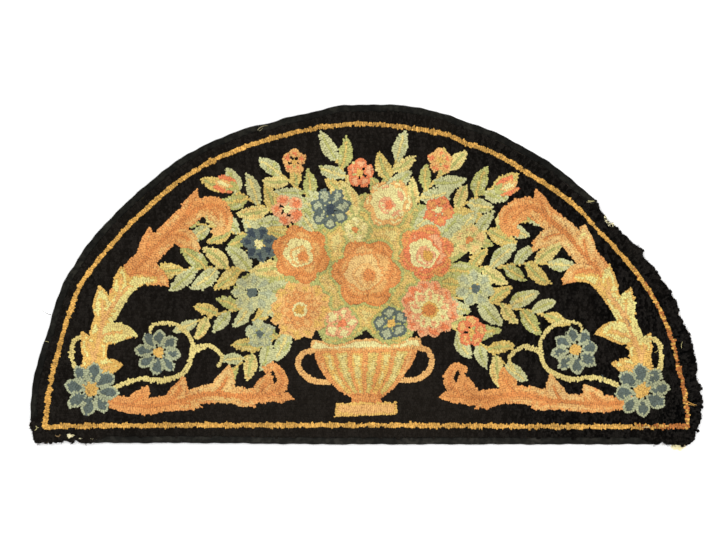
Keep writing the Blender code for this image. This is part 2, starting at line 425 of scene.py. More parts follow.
def lobe(x, y, degrees, length, width, curl=0.0, belly=0.42):
    """A curved leaf shape, widest at the belly's share of its length and pointed at its tip."""
    blunt_start, fullness = 0.04, 0.8
    line = arc(x, y, degrees, length, curl)
    share = np.linspace(0, 1, len(line))
    power = math.log(0.5) / math.log(belly)
    half = np.sin(math.pi * np.maximum(share, blunt_start) ** power) ** fullness * width / 2
    aside = sides_of(line) * half[:, None]
    return np.vstack((line + aside, (line - aside)[::-1]))


def scalloped(x, y, radius, scallops, depth, turn=0.0):
    """A round shape with a scalloped edge."""
    angle = np.linspace(0, 2 * math.pi, 24 * scallops, endpoint=False)
    swell = 1 - depth * (1 - np.abs(np.sin(scallops * (angle - math.radians(turn)) / 2)))
    return np.column_stack((x + radius * swell * np.cos(angle), y + radius * swell * np.sin(angle)))


def disc(x, y, radius):
    """A plain round shape."""
    return scalloped(x, y, radius, 1, 0.0)


class Pattern:
    """The design as drawn on the burlap: a grid of shape numbers, and each shape's wools and piece."""

    def __init__(self):
        row, column = np.indices(GRID_SIZE)
        x = column * GRID_CELL + GRID_LOW.x
        y = row * GRID_CELL + GRID_LOW.y
        bindings, rug = self.drawn_in_solids(row, column, x, y)
        inside = self.inside_gold_line()
        _, _, depth = nearest_edges(inside, 32)
        self.labels = np.where(inside, GROUND, BORDER).astype(np.int32)
        self.labels[depth < self.half_gold_line(row, column, x, y)] = GOLD_LINE
        self.labels[bindings | ~rug] = BARE
        self.field = self.labels == GROUND
        self.shapes = {
            GROUND: ("ground", ("black",)),
            BORDER: ("border", ("black",)),
            GOLD_LINE: ("gold_line", ("gold",)),
        }

    def drawn_in_solids(self, row, column, x, y):
        """The cells of the bindings and of the whole rug, with their edge drawn in."""
        out_x, out_y = drawn_in(x, y)
        from_row = np.clip(np.round(row + out_y / GRID_CELL).astype(int), 0, GRID_SIZE[0] - 1)
        from_column = np.clip(np.round(column + out_x / GRID_CELL).astype(int), 0, GRID_SIZE[1] - 1)
        bindings = solid_cover("binding_left", "binding_top", "binding_base")[from_row, from_column]
        return bindings, solid_cover("hooked_rug")[from_row, from_column] | bindings

    def inside_gold_line(self):
        """The cells inside the middle of the gold line."""
        arch = [heading(degrees) * radius for degrees, radius, _ in GOLD_ARCH]
        line = np.vstack((smooth_line(arch), GOLD_BASE)) * CM + (0, BASE_Y)
        inside = np.zeros(GRID_SIZE, bool)
        low, high, cells = covered(line)
        inside[low:high] = cells
        return inside

    def half_gold_line(self, row, column, x, y):
        """Half the gold line's width near every cell: uneven, and thin where it is worn."""
        above = y - BASE_Y
        turns, _, widths = zip(*GOLD_ARCH)
        on_arch = np.interp(np.degrees(np.arctan2(above, x)), turns, widths)
        wide = np.where(above < GOLD_BASE_BELOW * CM, GOLD_BASE_WIDTH, on_arch) * MM
        half = wide / 2 * (1 + GOLD_SWELL * np.sin(column / 7 + 2 * np.sin(row / 9)))
        worn_x, worn_y, reach = np.array(WORN_THIN) * CM
        worn = np.exp(-((x - worn_x) ** 2 + (y - worn_y - BASE_Y) ** 2) / reach**2)
        return half * (1 - GOLD_WORN_OFF * worn)

    def paint(self, outline, piece, wools, sides=(1,)):
        """Draws a shape in centimetres, and again mirrored where sides says so. Its wools are those of
        its rows from the edge inwards."""
        for side in sides:
            self.paint_as_one([np.array(outline) * (side, 1)], piece, wools)

    def paint_as_one(self, outlines, piece, wools):
        """Draws several outlines as one shape, with no edge between them where they overlap."""
        number = max(self.shapes) + 1
        self.shapes[number] = (piece, wools)
        for outline in outlines:
            x, y = hand_drawn(*np.array(outline).T)
            low, high, inside = covered(np.column_stack((x * CM, y * CM + BASE_Y)))
            self.labels[low:high][inside & self.field[low:high]] = number


def hand_drawn(x, y):
    """Bends a shape slightly, because the design was drawn freehand."""
    return (
        x + 0.30 * np.sin(0.21 * y + 0.05 * x + 1.3) + 0.16 * np.sin(0.55 * x + 0.4 * y),
        y + 0.26 * np.sin(0.17 * x + 0.6) + 0.14 * np.sin(0.5 * y - 0.37 * x + 2.0),
    )


# Motifs of the design

# Both halves of the rug, the right one first
BOTH = (1, -1)

# Widths of a thin vein from its start to its end
VEIN = (0.55, 0.55, 0.40)


def draw_acanthus(pattern, points, wools, vein, width, lobes):
    """A broad leaf that curls along a line of points, with lobes on both its sides and a vein in each.
    A lobe is (share of the line, side of it, heading off it, length, width, curl)."""
    line = smooth_line(points)
    along = np.gradient(line, axis=0)
    tip = 1.4
    body = strip(line, (0.7 * width, width, width, 0.85 * width, 0.6 * width, tip))
    leaflets, veins = [], [strip(line[4:-14], (0.55, 1.1, 0.55))]
    for share, turn, off, length, wide, curl in lobes:
        place = round(share * (len(line) - 1))
        x, y = line[place]
        way = math.degrees(math.atan2(along[place][1], along[place][0])) + turn * off
        leaflets.append(lobe(x, y, way, length, wide, turn * curl, 0.36))
        veins.append(strip(arc(x, y, way, 0.6 * length, 0.6 * turn * curl), VEIN))
    for side in BOTH:
        pattern.paint(body * (side, 1), "scrolls", wools)
        pattern.paint_as_one([outline * (side, 1) for outline in leaflets], "scrolls", wools)
    first, *rest = [outline * (side, 1) for outline in veins for side in BOTH]
    pattern.paint(first, "scrolls", (vein,))
    pattern.paint_as_one(rest, "scrolls", (vein,))


def draw_tendril(pattern, points):
    """A thin stem that curls up at its end."""
    pattern.paint(strip(smooth_line(points), (1.1, 1.1, 0.9, 0.6)), "corner_flowers", ("straw",), BOTH)


def draw_sprays(pattern):
    """Three acanthus leaves that spring from each lower corner, one over another, with tendrils and blue
    rosettes beside them."""
    for points in (
        ((56.6, 11.2), (49.4, 13.8), (43.6, 13.6), (38.6, 15.8), (37.2, 21.0), (40.4, 25.4), (45.4, 25.4),
         (46.8, 21.8)),
        ((37.2, 19.6), (33.4, 20.6), (30.8, 18.4), (32.0, 15.8)),
        ((60.8, 13.6), (63.2, 17.0), (63.0, 21.4), (61.0, 22.4), (60.4, 20.0)),
    ):
        draw_tendril(pattern, points)
    draw_acanthus(
        pattern,
        ((53.8, 30.6), (50.8, 36.0), (46.8, 40.6), (41.0, 46.4), (35.0, 50.4), (30.6, 49.8), (30.2, 46.2),
         (33.2, 45.0)),
        ("salmon", "peach", "apricot", "wheat"),
        "rust",
        5.0,
        (
            (0.16, 1, 34, 9.2, 4.8, 78),
            (0.38, 1, 34, 8.6, 4.4, 80),
            (0.58, 1, 34, 7.0, 3.8, 76),
            (0.24, -1, 18, 8.0, 4.2, 26),
            (0.48, -1, 20, 7.0, 3.6, 20),
        ),
    )
    draw_acanthus(
        pattern,
        ((59.4, 11.0), (59.0, 16.0), (57.2, 23.4), (53.8, 30.4), (49.6, 34.6), (45.0, 35.4)),
        ("old_gold", "wheat", "straw"),
        "peach",
        4.6,
        (
            (0.14, 1, 36, 7.8, 4.2, 55),
            (0.36, 1, 34, 9.2, 4.8, 68),
            (0.24, -1, 16, 7.4, 4.0, 30),
            (0.46, -1, 17, 8.0, 4.2, 28),
            (0.64, -1, 20, 7.0, 3.8, 24),
        ),
    )
    draw_acanthus(
        pattern,
        ((57.4, 9.4), (50.0, 8.2), (42.0, 8.6), (34.0, 10.2), (27.0, 10.0), (21.4, 10.2), (18.0, 13.0),
         (19.4, 16.4), (22.0, 15.6)),
        ("salmon", "peach", "apricot", "old_gold"),
        "rust",
        3.8,
        (
            (0.10, -1, 30, 6.2, 3.6, 40),
            (0.24, -1, 34, 7.0, 4.0, 46),
            (0.40, -1, 36, 7.4, 4.2, 52),
            (0.56, -1, 36, 6.8, 3.8, 52),
            (0.26, 1, 14, 5.8, 3.4, 14),
            (0.46, 1, 14, 6.0, 3.4, 14),
            (0.62, 1, 16, 5.6, 3.0, 16),
        ),
    )
    blues = ("pale_blue", "slate")
    draw_rosette(pattern, 59.2, 11.4, 6.0, 8, blues, ("old_gold",), 8, BOTH, "corner_flowers")
    draw_rosette(pattern, 44.6, 19.6, 5.2, 8, blues, ("old_gold",), 10, BOTH, "corner_flowers")


def draw_rosette(pattern, x, y, radius, petals, wools, heart, turn=0.0, sides=(1,), piece="blossoms"):
    """An open flower of single petals round a heart."""
    start_share, petal_share, heart_share = 0.12, 0.88, 0.24
    width = radius * min(0.95, 4.4 / petals)
    for i in range(petals):
        degrees = turn + 360 * i / petals
        start = heading(degrees) * radius * start_share
        outline = lobe(x + start[0], y + start[1], degrees, radius * petal_share, width, 0, 0.62)
        pattern.paint(outline, piece, wools, sides)
    pattern.paint(disc(x, y, radius * heart_share), piece, heart, sides)


def draw_rose(pattern, x, y, radius, wools, turn):
    """A full rose: scalloped rounds of petals one on another, each a little off the middle."""
    outer, second, third, light, heart = wools
    rounds = (
        # share of the radius, scallops, their depth, edge and body
        (1.00, 6, 0.20, outer, second),
        (0.76, 5, 0.18, second, third),
        (0.54, 5, 0.16, light, light),
        (0.36, 4, 0.16, third, light),
        (0.19, 3, 0.10, heart, heart),
    )
    for i, (share, scallops, depth, edge, body) in enumerate(rounds):
        off = heading(turn + 70 * i) * radius * 0.05 * min(i, 2)
        outline = scalloped(x + off[0], y + off[1], radius * share, scallops, depth, turn + 33 * i)
        pattern.paint(outline, "roses", (edge, body))


def draw_zinnia(pattern, x, y, radius, wools, turn):
    """Two rings of narrow petals round a wide heart."""
    outer, inner, heart = wools
    for share, petals, pair in ((1.0, 12, outer), (0.68, 9, inner)):
        length = radius * share
        for i in range(petals):
            degrees = turn + 360 * i / petals + 10 * share
            pattern.paint(lobe(x, y, degrees, length, length * 0.52, 0, 0.70), "blossoms", pair)
    pattern.paint(disc(x, y, radius * 0.27), "blossoms", heart)


def draw_leaf(pattern, x, y, degrees, length, width, wools, curl=12, sides=BOTH):
    """A pointed leaf whose two halves are of different greens, with a vein between them."""
    edge, body, vein = wools
    pattern.paint(lobe(x, y, degrees, length, width, curl), "leaves", (edge, body), sides)
    middle = arc(x, y, degrees, length * 0.84, curl * 0.84)
    pattern.paint(strip(middle, VEIN), "leaves", (vein,), sides)


def draw_sprig(pattern, points, leaves, length, wools):
    """A twig with small leaves by turns on its left and its right, and a last one at its tip."""
    first_leaf, spread, slenderness, curl = 0.22, 52, 0.48, -26
    line = smooth_line(points)
    pattern.paint(strip(line, (0.55, 0.55)), "leaves", ("olive",))
    along = np.gradient(line, axis=0)
    for i in range(leaves + 1):
        place = round((first_leaf + 0.76 * i / leaves) * (len(line) - 1))
        x, y = line[place]
        way = math.degrees(math.atan2(along[place][1], along[place][0]))
        turn = 0 if i == leaves else (-1) ** i
        size = length * (1 + 0.14 * math.sin(2.3 * i + x))
        green = wools[i % len(wools)]
        draw_leaf(pattern, x, y, way + spread * turn, size, size * slenderness, green, curl * turn, (1,))


def draw_tulip(pattern, x, y, degrees, length, wools):
    """A cup of three petals, seen from the side, on two small sepals."""
    outer, inner = wools
    for off in (-27, 27):
        petal = lobe(x, y, degrees + off, length * 0.95, length * 0.42, -off, 0.45)
        pattern.paint(petal, "blossoms", outer, BOTH)
    pattern.paint(lobe(x, y, degrees, length, length * 0.40, 0, 0.55), "blossoms", inner, BOTH)
    for off in (-48, 48):
        sepal = lobe(x, y, degrees + off, length * 0.42, length * 0.16, -off)
        pattern.paint(sepal, "leaves", ("leaf",), BOTH)


def draw_urn(pattern):
    """A fluted bowl on a foot, with two ring handles."""
    handle = smooth_line(((9.0, 19.6), (13.0, 19.8), (14.2, 16.8), (11.8, 13.8), (7.4, 13.2)))
    pattern.paint(strip(handle, (1.1, 1.3, 1.1)), "urn", ("peach",), BOTH)
    share = np.linspace(0, 1, 24)
    stem, swell, bowl_low, bowl_height = 3.2, 7.8, 9.6, 10.6
    bowl = stem + swell * np.sin(share * math.pi / 2) ** 0.8
    profile = np.column_stack((bowl, bowl_low + bowl_height * share))
    pattern.paint(np.vstack((profile, profile[::-1] * (-1, 1))), "urn", ("salmon", "peach"))
    for i, middle in enumerate((-0.72, -0.43, -0.15, 0.15, 0.43, 0.72)):
        flute = profile[2:-2] * (middle, 1)
        pattern.paint(strip(flute, (0.9, 1.5, 2.0, 2.1)), "urn", (("old_gold", "olive")[i % 2], "straw"))
    for half, low, high, wools in (
        (12.0, 20.0, 22.4, ("peach", "cream")),
        (3.4, 8.4, 10.2, ("rust", "salmon")),
        (6.8, 5.6, 8.6, ("old_gold", "peach")),
    ):
        pattern.paint(((-half, low), (half, low), (half * 0.96, high), (-half * 0.96, high)), "urn", wools)


LEAF_WOOLS = (
    # edge, body and vein
    ("mint", "leaf", "straw"),
    ("olive", "straw", "leaf"),
    ("leaf", "mint", "olive"),
    ("straw", "lime", "leaf"),
    ("mint", "mint", "leaf"),
)

# Twigs that spread from behind the flowers: where each starts, its heading, length, curl and leaves
SPRIGS = (
    (-13.0, 25.4, 200, 18, 26, 6),
    (-16.0, 30.4, 186, 21, 14, 7),
    (-18.0, 36.4, 174, 22, 8, 7),
    (-17.0, 41.6, 160, 20, 10, 7),
    (-14.0, 45.6, 143, 18, 16, 6),
    (-9.0, 49.0, 126, 13, 22, 5),
    (-2.6, 51.0, 104, 11, 18, 4),
    (3.4, 50.0, 82, 11, -14, 4),
    (8.6, 48.4, 60, 14, -20, 5),
    (13.4, 45.6, 42, 17, -16, 6),
    (16.0, 42.2, 24, 20, -16, 7),
    (18.0, 37.0, 10, 22, -14, 7),
    (17.0, 31.6, -3, 22, -18, 7),
    (13.0, 26.4, -15, 20, -28, 6),
)


def draw_foliage(pattern):
    """Twigs of small leaves that spread all round from behind the flowers, over a bed of greens."""
    for i, (x, y, degrees, length, curl, leaves) in enumerate(SPRIGS):
        wools = [LEAF_WOOLS[(i + 2 * k) % len(LEAF_WOOLS)] for k in range(5)]
        draw_sprig(pattern, arc(x, y, degrees, length, curl, 5), leaves, 6.4, wools)
    bed_middle = 37.0
    bed = scalloped(0, 0, 1, 11, 0.22, 8) * (24.5, 16.5) + (0, bed_middle)
    pattern.paint(bed, "leaves", ("leaf", "olive", "lime", "straw"))
    for i in range(16):
        turn = -30 + 16 * i
        x, y = 17 * math.cos(math.radians(turn)), bed_middle + 11.5 * math.sin(math.radians(turn))
        green = LEAF_WOOLS[i % len(LEAF_WOOLS)]
        draw_leaf(pattern, x, y, turn + 12 * math.sin(2.4 * i), 8.6, 4.0, green, 20, (1,))


def draw_flowers(pattern):
    """The bouquet, from the flowers at its rim to the small ones between the large."""
    draw_tulip(pattern, 27.6, 54.2, 24, 5.2, (("coral", "salmon"), ("peach", "cream")))
    draw_rosette(pattern, 15.6, 60.6, 2.8, 5, ("peach", "coral"), ("old_gold",), 20, BOTH)

    draw_rosette(pattern, -24.6, 32.0, 4.6, 8, ("mint", "pale_blue"), ("slate",), 0)
    draw_rosette(pattern, -23.0, 42.6, 4.0, 7, ("slate", "navy"), ("cream",), 20)
    draw_rosette(pattern, -7.4, 50.4, 4.6, 7, ("slate", "pale_blue"), ("navy",), 12)
    draw_rosette(pattern, 23.4, 33.4, 4.4, 7, ("mint", "pale_blue"), ("slate",), 40)
    for x, y, radius, wools, turn in (
        (13.4, 28.6, 6.4, (("rose", "coral"), ("cream", "rose"), ("old_gold", "rust")), 4),
        (-14.2, 28.8, 6.6, (("peach", "old_gold"), ("salmon", "peach"), ("cream", "gold")), 14),
    ):
        draw_zinnia(pattern, x, y, radius, wools, turn)
    draw_rose(pattern, -14.0, 40.8, 6.4, ("rust", "salmon", "peach", "cream", "rust"), 10)
    draw_rose(pattern, 13.2, 40.6, 6.2, ("salmon", "coral", "rose", "cream", "gold"), 50)
    draw_rose(pattern, 4.8, 51.2, 5.2, ("peach", "cream", "rose", "cream", "coral"), 30)
    draw_rose(pattern, 0.0, 36.4, 7.6, ("rust", "salmon", "peach", "apricot", "rust"), 24)
    for x, y, radius, wools, heart in (
        (-5.4, 25.8, 3.6, ("rose", "cream"), "coral"),
        (5.2, 25.4, 3.6, ("slate", "pale_blue"), "old_gold"),
        (-22.6, 23.4, 3.4, ("pale_blue", "mint"), "slate"),
        (22.4, 24.2, 3.4, ("coral", "peach"), "old_gold"),
        (15.6, 49.8, 3.4, ("coral", "salmon"), "cream"),
        (-16.6, 50.2, 3.6, ("rose", "coral"), "cream"),
        (-1.8, 45.6, 2.8, ("straw", "cream"), "rust"),
        (22.6, 43.8, 3.6, ("straw", "apricot"), "rust"),
        (-1.4, 57.8, 3.2, ("coral", "rose"), "old_gold"),
    ):
        draw_rosette(pattern, x, y, radius, 5, wools, (heart,), 18 + 3 * x)


def draw_design():
    """The whole design, each motif over those before it."""
    pattern = Pattern()
    draw_urn(pattern)
    draw_foliage(pattern)
    draw_sprays(pattern)
    draw_flowers(pattern)
    return pattern


# Setting the loops

# A loop may lie across its row in one of this many directions
DIRECTIONS = 16

# The cells round a loop that no other loop may stand on, and those that it hides: out to these shares of
# the row's width and of the step along it, with corners as square as the power makes them
CLAIM = (0.70, 0.78, 2)
COVER = (0.56, 0.60, 4)

# Where the solid is lower than this, the pile has worn away
WORN_BELOW = 0.0060

# What one operator leaves for those after it
WORK = {}


class Hooking:
    """Loops set over a pattern, row by row, with every gap filled at the end."""

    def __init__(self, pattern, sizes):
        self.labels = pattern.labels
        _, _, self.depth = nearest_edges(self.labels, 16)
        self.along_x, self.along_y = uphill(self.depth)
        self.taken = self.labels == BARE
        self.covered = self.labels == BARE
        self.row_spacing = sizes.row_spacing
        self.step = sizes.loop_spacing / GRID_CELL
        self.random = np.random.default_rng(SEED)
        self.number = np.full(self.labels.shape, -1)
        turns = [math.pi * i / DIRECTIONS for i in range(DIRECTIONS)]
        self.claims = [self.mark(turn, *CLAIM) for turn in turns]
        self.covers = [self.mark(turn, *COVER) for turn in turns]
        self.loops = []

    def mark(self, across, wide, long, power):
        """The cells near a loop that lies across its row at this angle, out to these shares of the row's
        width and of the step along it. A higher power gives squarer corners."""
        reach = math.ceil(self.row_spacing / GRID_CELL)
        row, column = np.mgrid[-reach : reach + 1, -reach : reach + 1]
        far_across = (column * math.cos(across) + row * math.sin(across)) * GRID_CELL
        far_along = (row * math.cos(across) - column * math.sin(across)) * GRID_CELL
        near = np.abs(far_across / (wide * self.row_spacing)) ** power
        near += np.abs(far_along / (long * self.step * GRID_CELL)) ** power
        return row[near < 1], column[near < 1]

    def hook(self, row, column, across):
        """Sets one loop, and marks the cells that it claims and covers."""
        cell_row, cell_column = round(row), round(column)
        turn = round(across / math.pi * DIRECTIONS) % DIRECTIONS
        for grid, marks in ((self.taken, self.claims), (self.covered, self.covers)):
            rows, columns = marks[turn]
            grid[cell_row + rows, cell_column + columns] = True
        self.number[cell_row + rows, cell_column + columns] = len(self.loops)
        label = self.labels[cell_row, cell_column]
        self.loops.append((row, column, across, label, self.depth[cell_row, cell_column]))

    def follow(self, row, column, depth, sense):
        """Hooks along a shape's edge at this depth, from one loop until something stops the row."""
        label = self.labels[row, column]
        while True:
            cell = round(row), round(column)
            row += sense * self.along_x[cell] * self.step
            column -= sense * self.along_y[cell] * self.step
            cell = round(row), round(column)
            off = (depth - self.depth[cell]) / GRID_CELL
            row += self.along_y[cell] * off
            column += self.along_x[cell] * off
            cell = round(row), round(column)
            if self.taken[cell] or self.labels[cell] != label:
                return
            self.hook(row, column, math.atan2(self.along_y[cell], self.along_x[cell]))

    def follow_edges(self):
        """Fills every shape with rows along its edge. The black ground gets only its first row."""
        close_by = 0.6 * GRID_CELL
        order = np.floor(self.depth / self.row_spacing)
        middle = (order + 0.5) * self.row_spacing
        on_row = (np.abs(self.depth - middle) < close_by) & ~self.taken
        on_row &= (self.labels != GROUND) | (order == 0)
        rows, columns = np.nonzero(on_row)
        first = np.lexsort((columns, rows, self.labels[rows, columns], order[rows, columns]))
        for row, column in zip(rows[first].tolist(), columns[first].tolist()):
            if not self.taken[row, column]:
                across = math.atan2(self.along_y[row, column], self.along_x[row, column])
                depth = middle[row, column]
                self.hook(row, column, across)
                self.follow(row, column, depth, 1)
                self.follow(row, column, depth, -1)

    def follow_level_rows(self):
        """Fills the black ground with rows that run level, as straight as a hand keeps them."""
        first, margin, sway, sway_length = 3, 8, 1.1, 130
        height, width = self.labels.shape
        for count, start in enumerate(np.arange(0, height - margin, self.row_spacing / GRID_CELL)):
            for column in np.arange((count % 2) * self.step / 2, width - 1, self.step):
                row = start + first + sway * math.sin(column / sway_length + 0.4 * math.sin(count))
                cell = round(row), round(column)
                if self.labels[cell] == GROUND and not self.taken[cell]:
                    self.hook(row, column, math.pi / 2)

    def fill_gaps(self):
        """Sets a loop wherever the burlap still shows, in no special order."""
        rows, columns = np.nonzero(~self.covered)
        shuffled = self.random.permutation(len(rows))
        for row, column in zip(rows[shuffled].tolist(), columns[shuffled].tolist()):
            if not self.covered[row, column]:
                across = math.pi / 2
                if self.labels[row, column] != GROUND:
                    across = math.atan2(self.along_y[row, column], self.along_x[row, column])
                self.hook(row, column, across)

    def streaks(self, row, column, across):
        """A chance value for every loop, alike for those that lie side by side in neighbouring rows."""
        chance = self.random.normal(0, 1, len(self.loops))
        total = chance.copy()
        reach = self.row_spacing / GRID_CELL
        for step, weight in ((-2, 0.5), (-1, 0.9), (1, 0.9), (2, 0.5)):
            at_row = np.round(row + step * reach * np.sin(across)).astype(int)
            at_column = np.round(column + step * reach * np.cos(across)).astype(int)
            at_row = np.clip(at_row, 0, self.labels.shape[0] - 1)
            at_column = np.clip(at_column, 0, self.labels.shape[1] - 1)
            number = self.number[at_row, at_column]
            total += np.where(number >= 0, chance[number], 0) * weight
        return total / total.std()

    def table(self):
        """Every loop as named columns."""
        row, column, across, label, depth = np.array(self.loops).T
        return {
            "streak": self.streaks(row, column, across),
            "x": column * GRID_CELL + GRID_LOW.x,
            "y": row * GRID_CELL + GRID_LOW.y,
            "across": across,
            "label": label.astype(int),
            "depth": depth,
        }


def surface_of(node):
    """A solid's faces, to be looked down on."""
    mesh = SOLIDS[node].data
    return BVHTree.FromPolygons([v.co for v in mesh.vertices], [face.vertices for face in mesh.polygons])


def set_loops(sizes):
    """Draws the design and hooks it, and keeps the result for the operators that make the pieces."""
    pattern = draw_design()
    hooking = Hooking(pattern, sizes)
    hooking.follow_edges()
    hooking.follow_level_rows()
    hooking.fill_gaps()
    loops = hooking.table()
    rug = surface_of("hooked_rug")
    out_x, out_y = drawn_in(loops["x"], loops["y"])
    places = zip(loops["x"] + out_x, loops["y"] + out_y)
    hits = [rug.ray_cast((x, y, 1), (0, 0, -1)) for x, y in places]
    loops["top"] = np.array([hit[0].z if hit[0] else 0.0 for hit in hits])
    loops["lean"] = np.array([hit[1].xy if hit[1] else (0, 0) for hit in hits])
    kept = loops["top"] > WORN_BELOW
    for x, y, length, width, turn in WORN_SPOTS:
        off = np.column_stack((loops["x"] - x * CM, loops["y"] - y * CM - BASE_Y))
        kept &= np.hypot(off @ heading(turn) / length, off @ heading(turn + 90) / width) > CM / 2
    WORK["loops"] = {name: column[kept] for name, column in loops.items()}
    WORK["shapes"] = pattern.shapes


# Making loops of wool

# A loop's foot in the burlap, and its half length across the row and half width along it
LOOP_ROOT = 0.0016
LOOP_HALF_LENGTH = 0.0036
LOOP_HALF_WIDTH = 0.0034

# The plies of the yarn: how far apart they lie, and how much they slant
PLY_PITCH = 0.0021
PLY_SLANT = 0.35

# How far a loop strays by chance: its turn in radians, then in metres across its row, any way, and the
# lean of its top. The gold line is hooked neater than the rest, by this share, but where it is frizzy its
# tops lean further.
STRAY_TURN = 0.11
STRAY_ACROSS = 0.0003
STRAY_PLACE = 0.00014
STRAY_LEAN = 0.0004
NEAT_GOLD = 0.7
FRIZZY_LEAN = 0.0014

# At the rim the tops spill out over the edge, by at least this much and at most this much more
SPILL_LEAST = 0.0006
SPILL_MORE = 0.0078


def deselect_all():
    """Leaves edit mode and selects nothing."""
    if bpy.context.object and bpy.context.object.mode != "OBJECT":
        bpy.ops.object.mode_set(mode="OBJECT")
    bpy.ops.object.select_all(action="DESELECT")


def select_where(mesh, test):
    """Selects the points of the mesh being edited that pass a test, and nothing else."""
    bpy.ops.object.mode_set(mode="OBJECT")
    for face in mesh.polygons:
        face.select = False
    for edge in mesh.edges:
        edge.select = False
    for point in mesh.vertices:
        point.select = test(point.co)
    bpy.ops.object.mode_set(mode="EDIT")
    bpy.ops.mesh.select_mode(type="VERT")


def model_loop():
    """One loop of wool, from its root in the burlap to the ridge at its top: its points, its triangles and
    their places on its map. It is 2 long, 2 wide and 1 high, and the length lies across the row."""
    shoulder, squareness, ridge = 0.80, 1.56, 0.55
    deselect_all()
    bpy.ops.mesh.primitive_circle_add(vertices=6, radius=1, location=(0, 0, shoulder), fill_type="NGON")
    loop = bpy.context.object
    loop.rotation_euler.z = math.pi / 2
    bpy.ops.object.transform_apply(location=True, rotation=True, scale=True)
    mesh = loop.data
    bpy.ops.object.mode_set(mode="EDIT")
    bpy.ops.mesh.select_all(action="SELECT")
    bpy.ops.transform.resize(value=(1, 1 / math.sin(math.pi / 3), 1))
    select_where(mesh, lambda co: abs(co.x) < 0.9)
    bpy.ops.transform.resize(value=(squareness, 1, 1))
    bpy.ops.mesh.select_all(action="SELECT")
    bpy.ops.mesh.extrude_region_move(TRANSFORM_OT_translate={"value": (0, 0, 1 - shoulder)})
    bpy.ops.transform.resize(value=(ridge, 0.0, 1))
    bpy.ops.mesh.remove_doubles(threshold=0.26)
    select_where(mesh, lambda co: co.z < shoulder + 0.01)
    bpy.ops.mesh.extrude_region_move(TRANSFORM_OT_translate={"value": (0, 0, -shoulder)})
    bpy.ops.mesh.merge(type="CENTER")
    bpy.ops.mesh.select_all(action="SELECT")
    bpy.ops.mesh.quads_convert_to_tris()
    bpy.ops.mesh.normals_make_consistent(inside=False)
    bpy.ops.object.mode_set(mode="OBJECT")
    points = np.array([point.co[:] for point in mesh.vertices])
    # Extruding gives the faces in an order of its own on each run, so they are sorted before they are mapped
    faces = np.array(sorted(face.vertices[:] for face in mesh.polygons))
    mesh.clear_geometry()
    mesh.from_pydata(points, [], faces)
    bpy.ops.object.mode_set(mode="EDIT")
    bpy.ops.mesh.select_all(action="SELECT")
    bpy.ops.uv.smart_project(angle_limit=math.radians(80), island_margin=0.04)
    bpy.ops.object.mode_set(mode="OBJECT")
    places = np.array([corner.uv[:] for corner in mesh.uv_layers.active.data])
    bpy.data.objects.remove(loop)
    bpy.data.meshes.remove(mesh)
    return points, faces, places


def joined_mesh(name, points, faces, materials, indices=None):
    """A mesh object from arrays of points and of triangles, shaded smooth."""
    mesh = bpy.data.meshes.new(name)
    mesh.vertices.add(len(points))
    mesh.vertices.foreach_set("co", np.ascontiguousarray(points, np.float32).ravel())
    mesh.loops.add(faces.size)
    mesh.loops.foreach_set("vertex_index", faces.astype(np.int32).ravel())
    mesh.polygons.add(len(faces))
    mesh.polygons.foreach_set("loop_start", np.arange(0, faces.size, faces.shape[1], dtype=np.int32))
    for material in materials:
        mesh.materials.append(material)
    if indices is not None:
        mesh.polygons.foreach_set("material_index", indices.astype(np.int32))
    mesh.update(calc_edges=True)
    mesh.validate()
    mesh.shade_smooth()
    piece = bpy.data.objects.new(name, mesh)
    bpy.context.scene.collection.objects.link(piece)
    return piece


def bake_map(piece, places, copies):
    """Gives each copy of a repeated shape its own square of the piece's UV map."""
    margin = 0.04
    side = math.ceil(math.sqrt(copies))
    number = np.arange(copies)
    corner = np.column_stack((number % side, number // side))
    uv = (corner[:, None, :] + margin + (1 - 2 * margin) * places[None]) / side
    layer = piece.data.uv_layers.new(name="OFBake")
    layer.data.foreach_set("uv", uv.astype(np.float32).ravel())


def copies_of(shape, places, turns, sizes, heights, leans):
    """Points and faces of many copies of a shape. Each has its place, its turn about the upright, its
    (length, width), its (foot, top) and how far its top leans."""
    points, faces, _ = shape
    length = points[:, 0] * sizes[:, :1]
    width = points[:, 1] * sizes[:, 1:]
    cosine, sine = np.cos(turns)[:, None], np.sin(turns)[:, None]
    rise = points[:, 2] ** 2
    x = places[:, :1] + length * cosine - width * sine + rise * leans[:, :1]
    y = places[:, 1:] + length * sine + width * cosine + rise * leans[:, 1:]
    z = heights[:, :1] + points[:, 2] * (heights[:, 1:] - heights[:, :1])
    all_points = np.stack((x, y, z), axis=-1).reshape(-1, 3)
    all_faces = (faces[None] + len(points) * np.arange(len(places))[:, None, None]).reshape(-1, 3)
    return all_points, all_faces


def spin(piece, tones, strands):
    """Gives each point of a woollen piece its tone and its place on the yarn, for the material to read."""
    tone = piece.data.attributes.new("tone", "FLOAT", "POINT")
    tone.data.foreach_set("value", tones.ravel().astype(np.float32))
    ply = piece.data.attributes.new("ply", "FLOAT_VECTOR", "POINT")
    ply.data.foreach_set("vector", strands.ravel().astype(np.float32))


def worn_to_amber(loops, random):
    """Which of the gold line's loops are of the darker amber: more of them towards the rug's right end."""
    share = np.interp(loops["x"], AMBER_FROM, AMBER_SHARE)
    return (loops["label"] == GOLD_LINE) & (random.random(len(share)) < share)


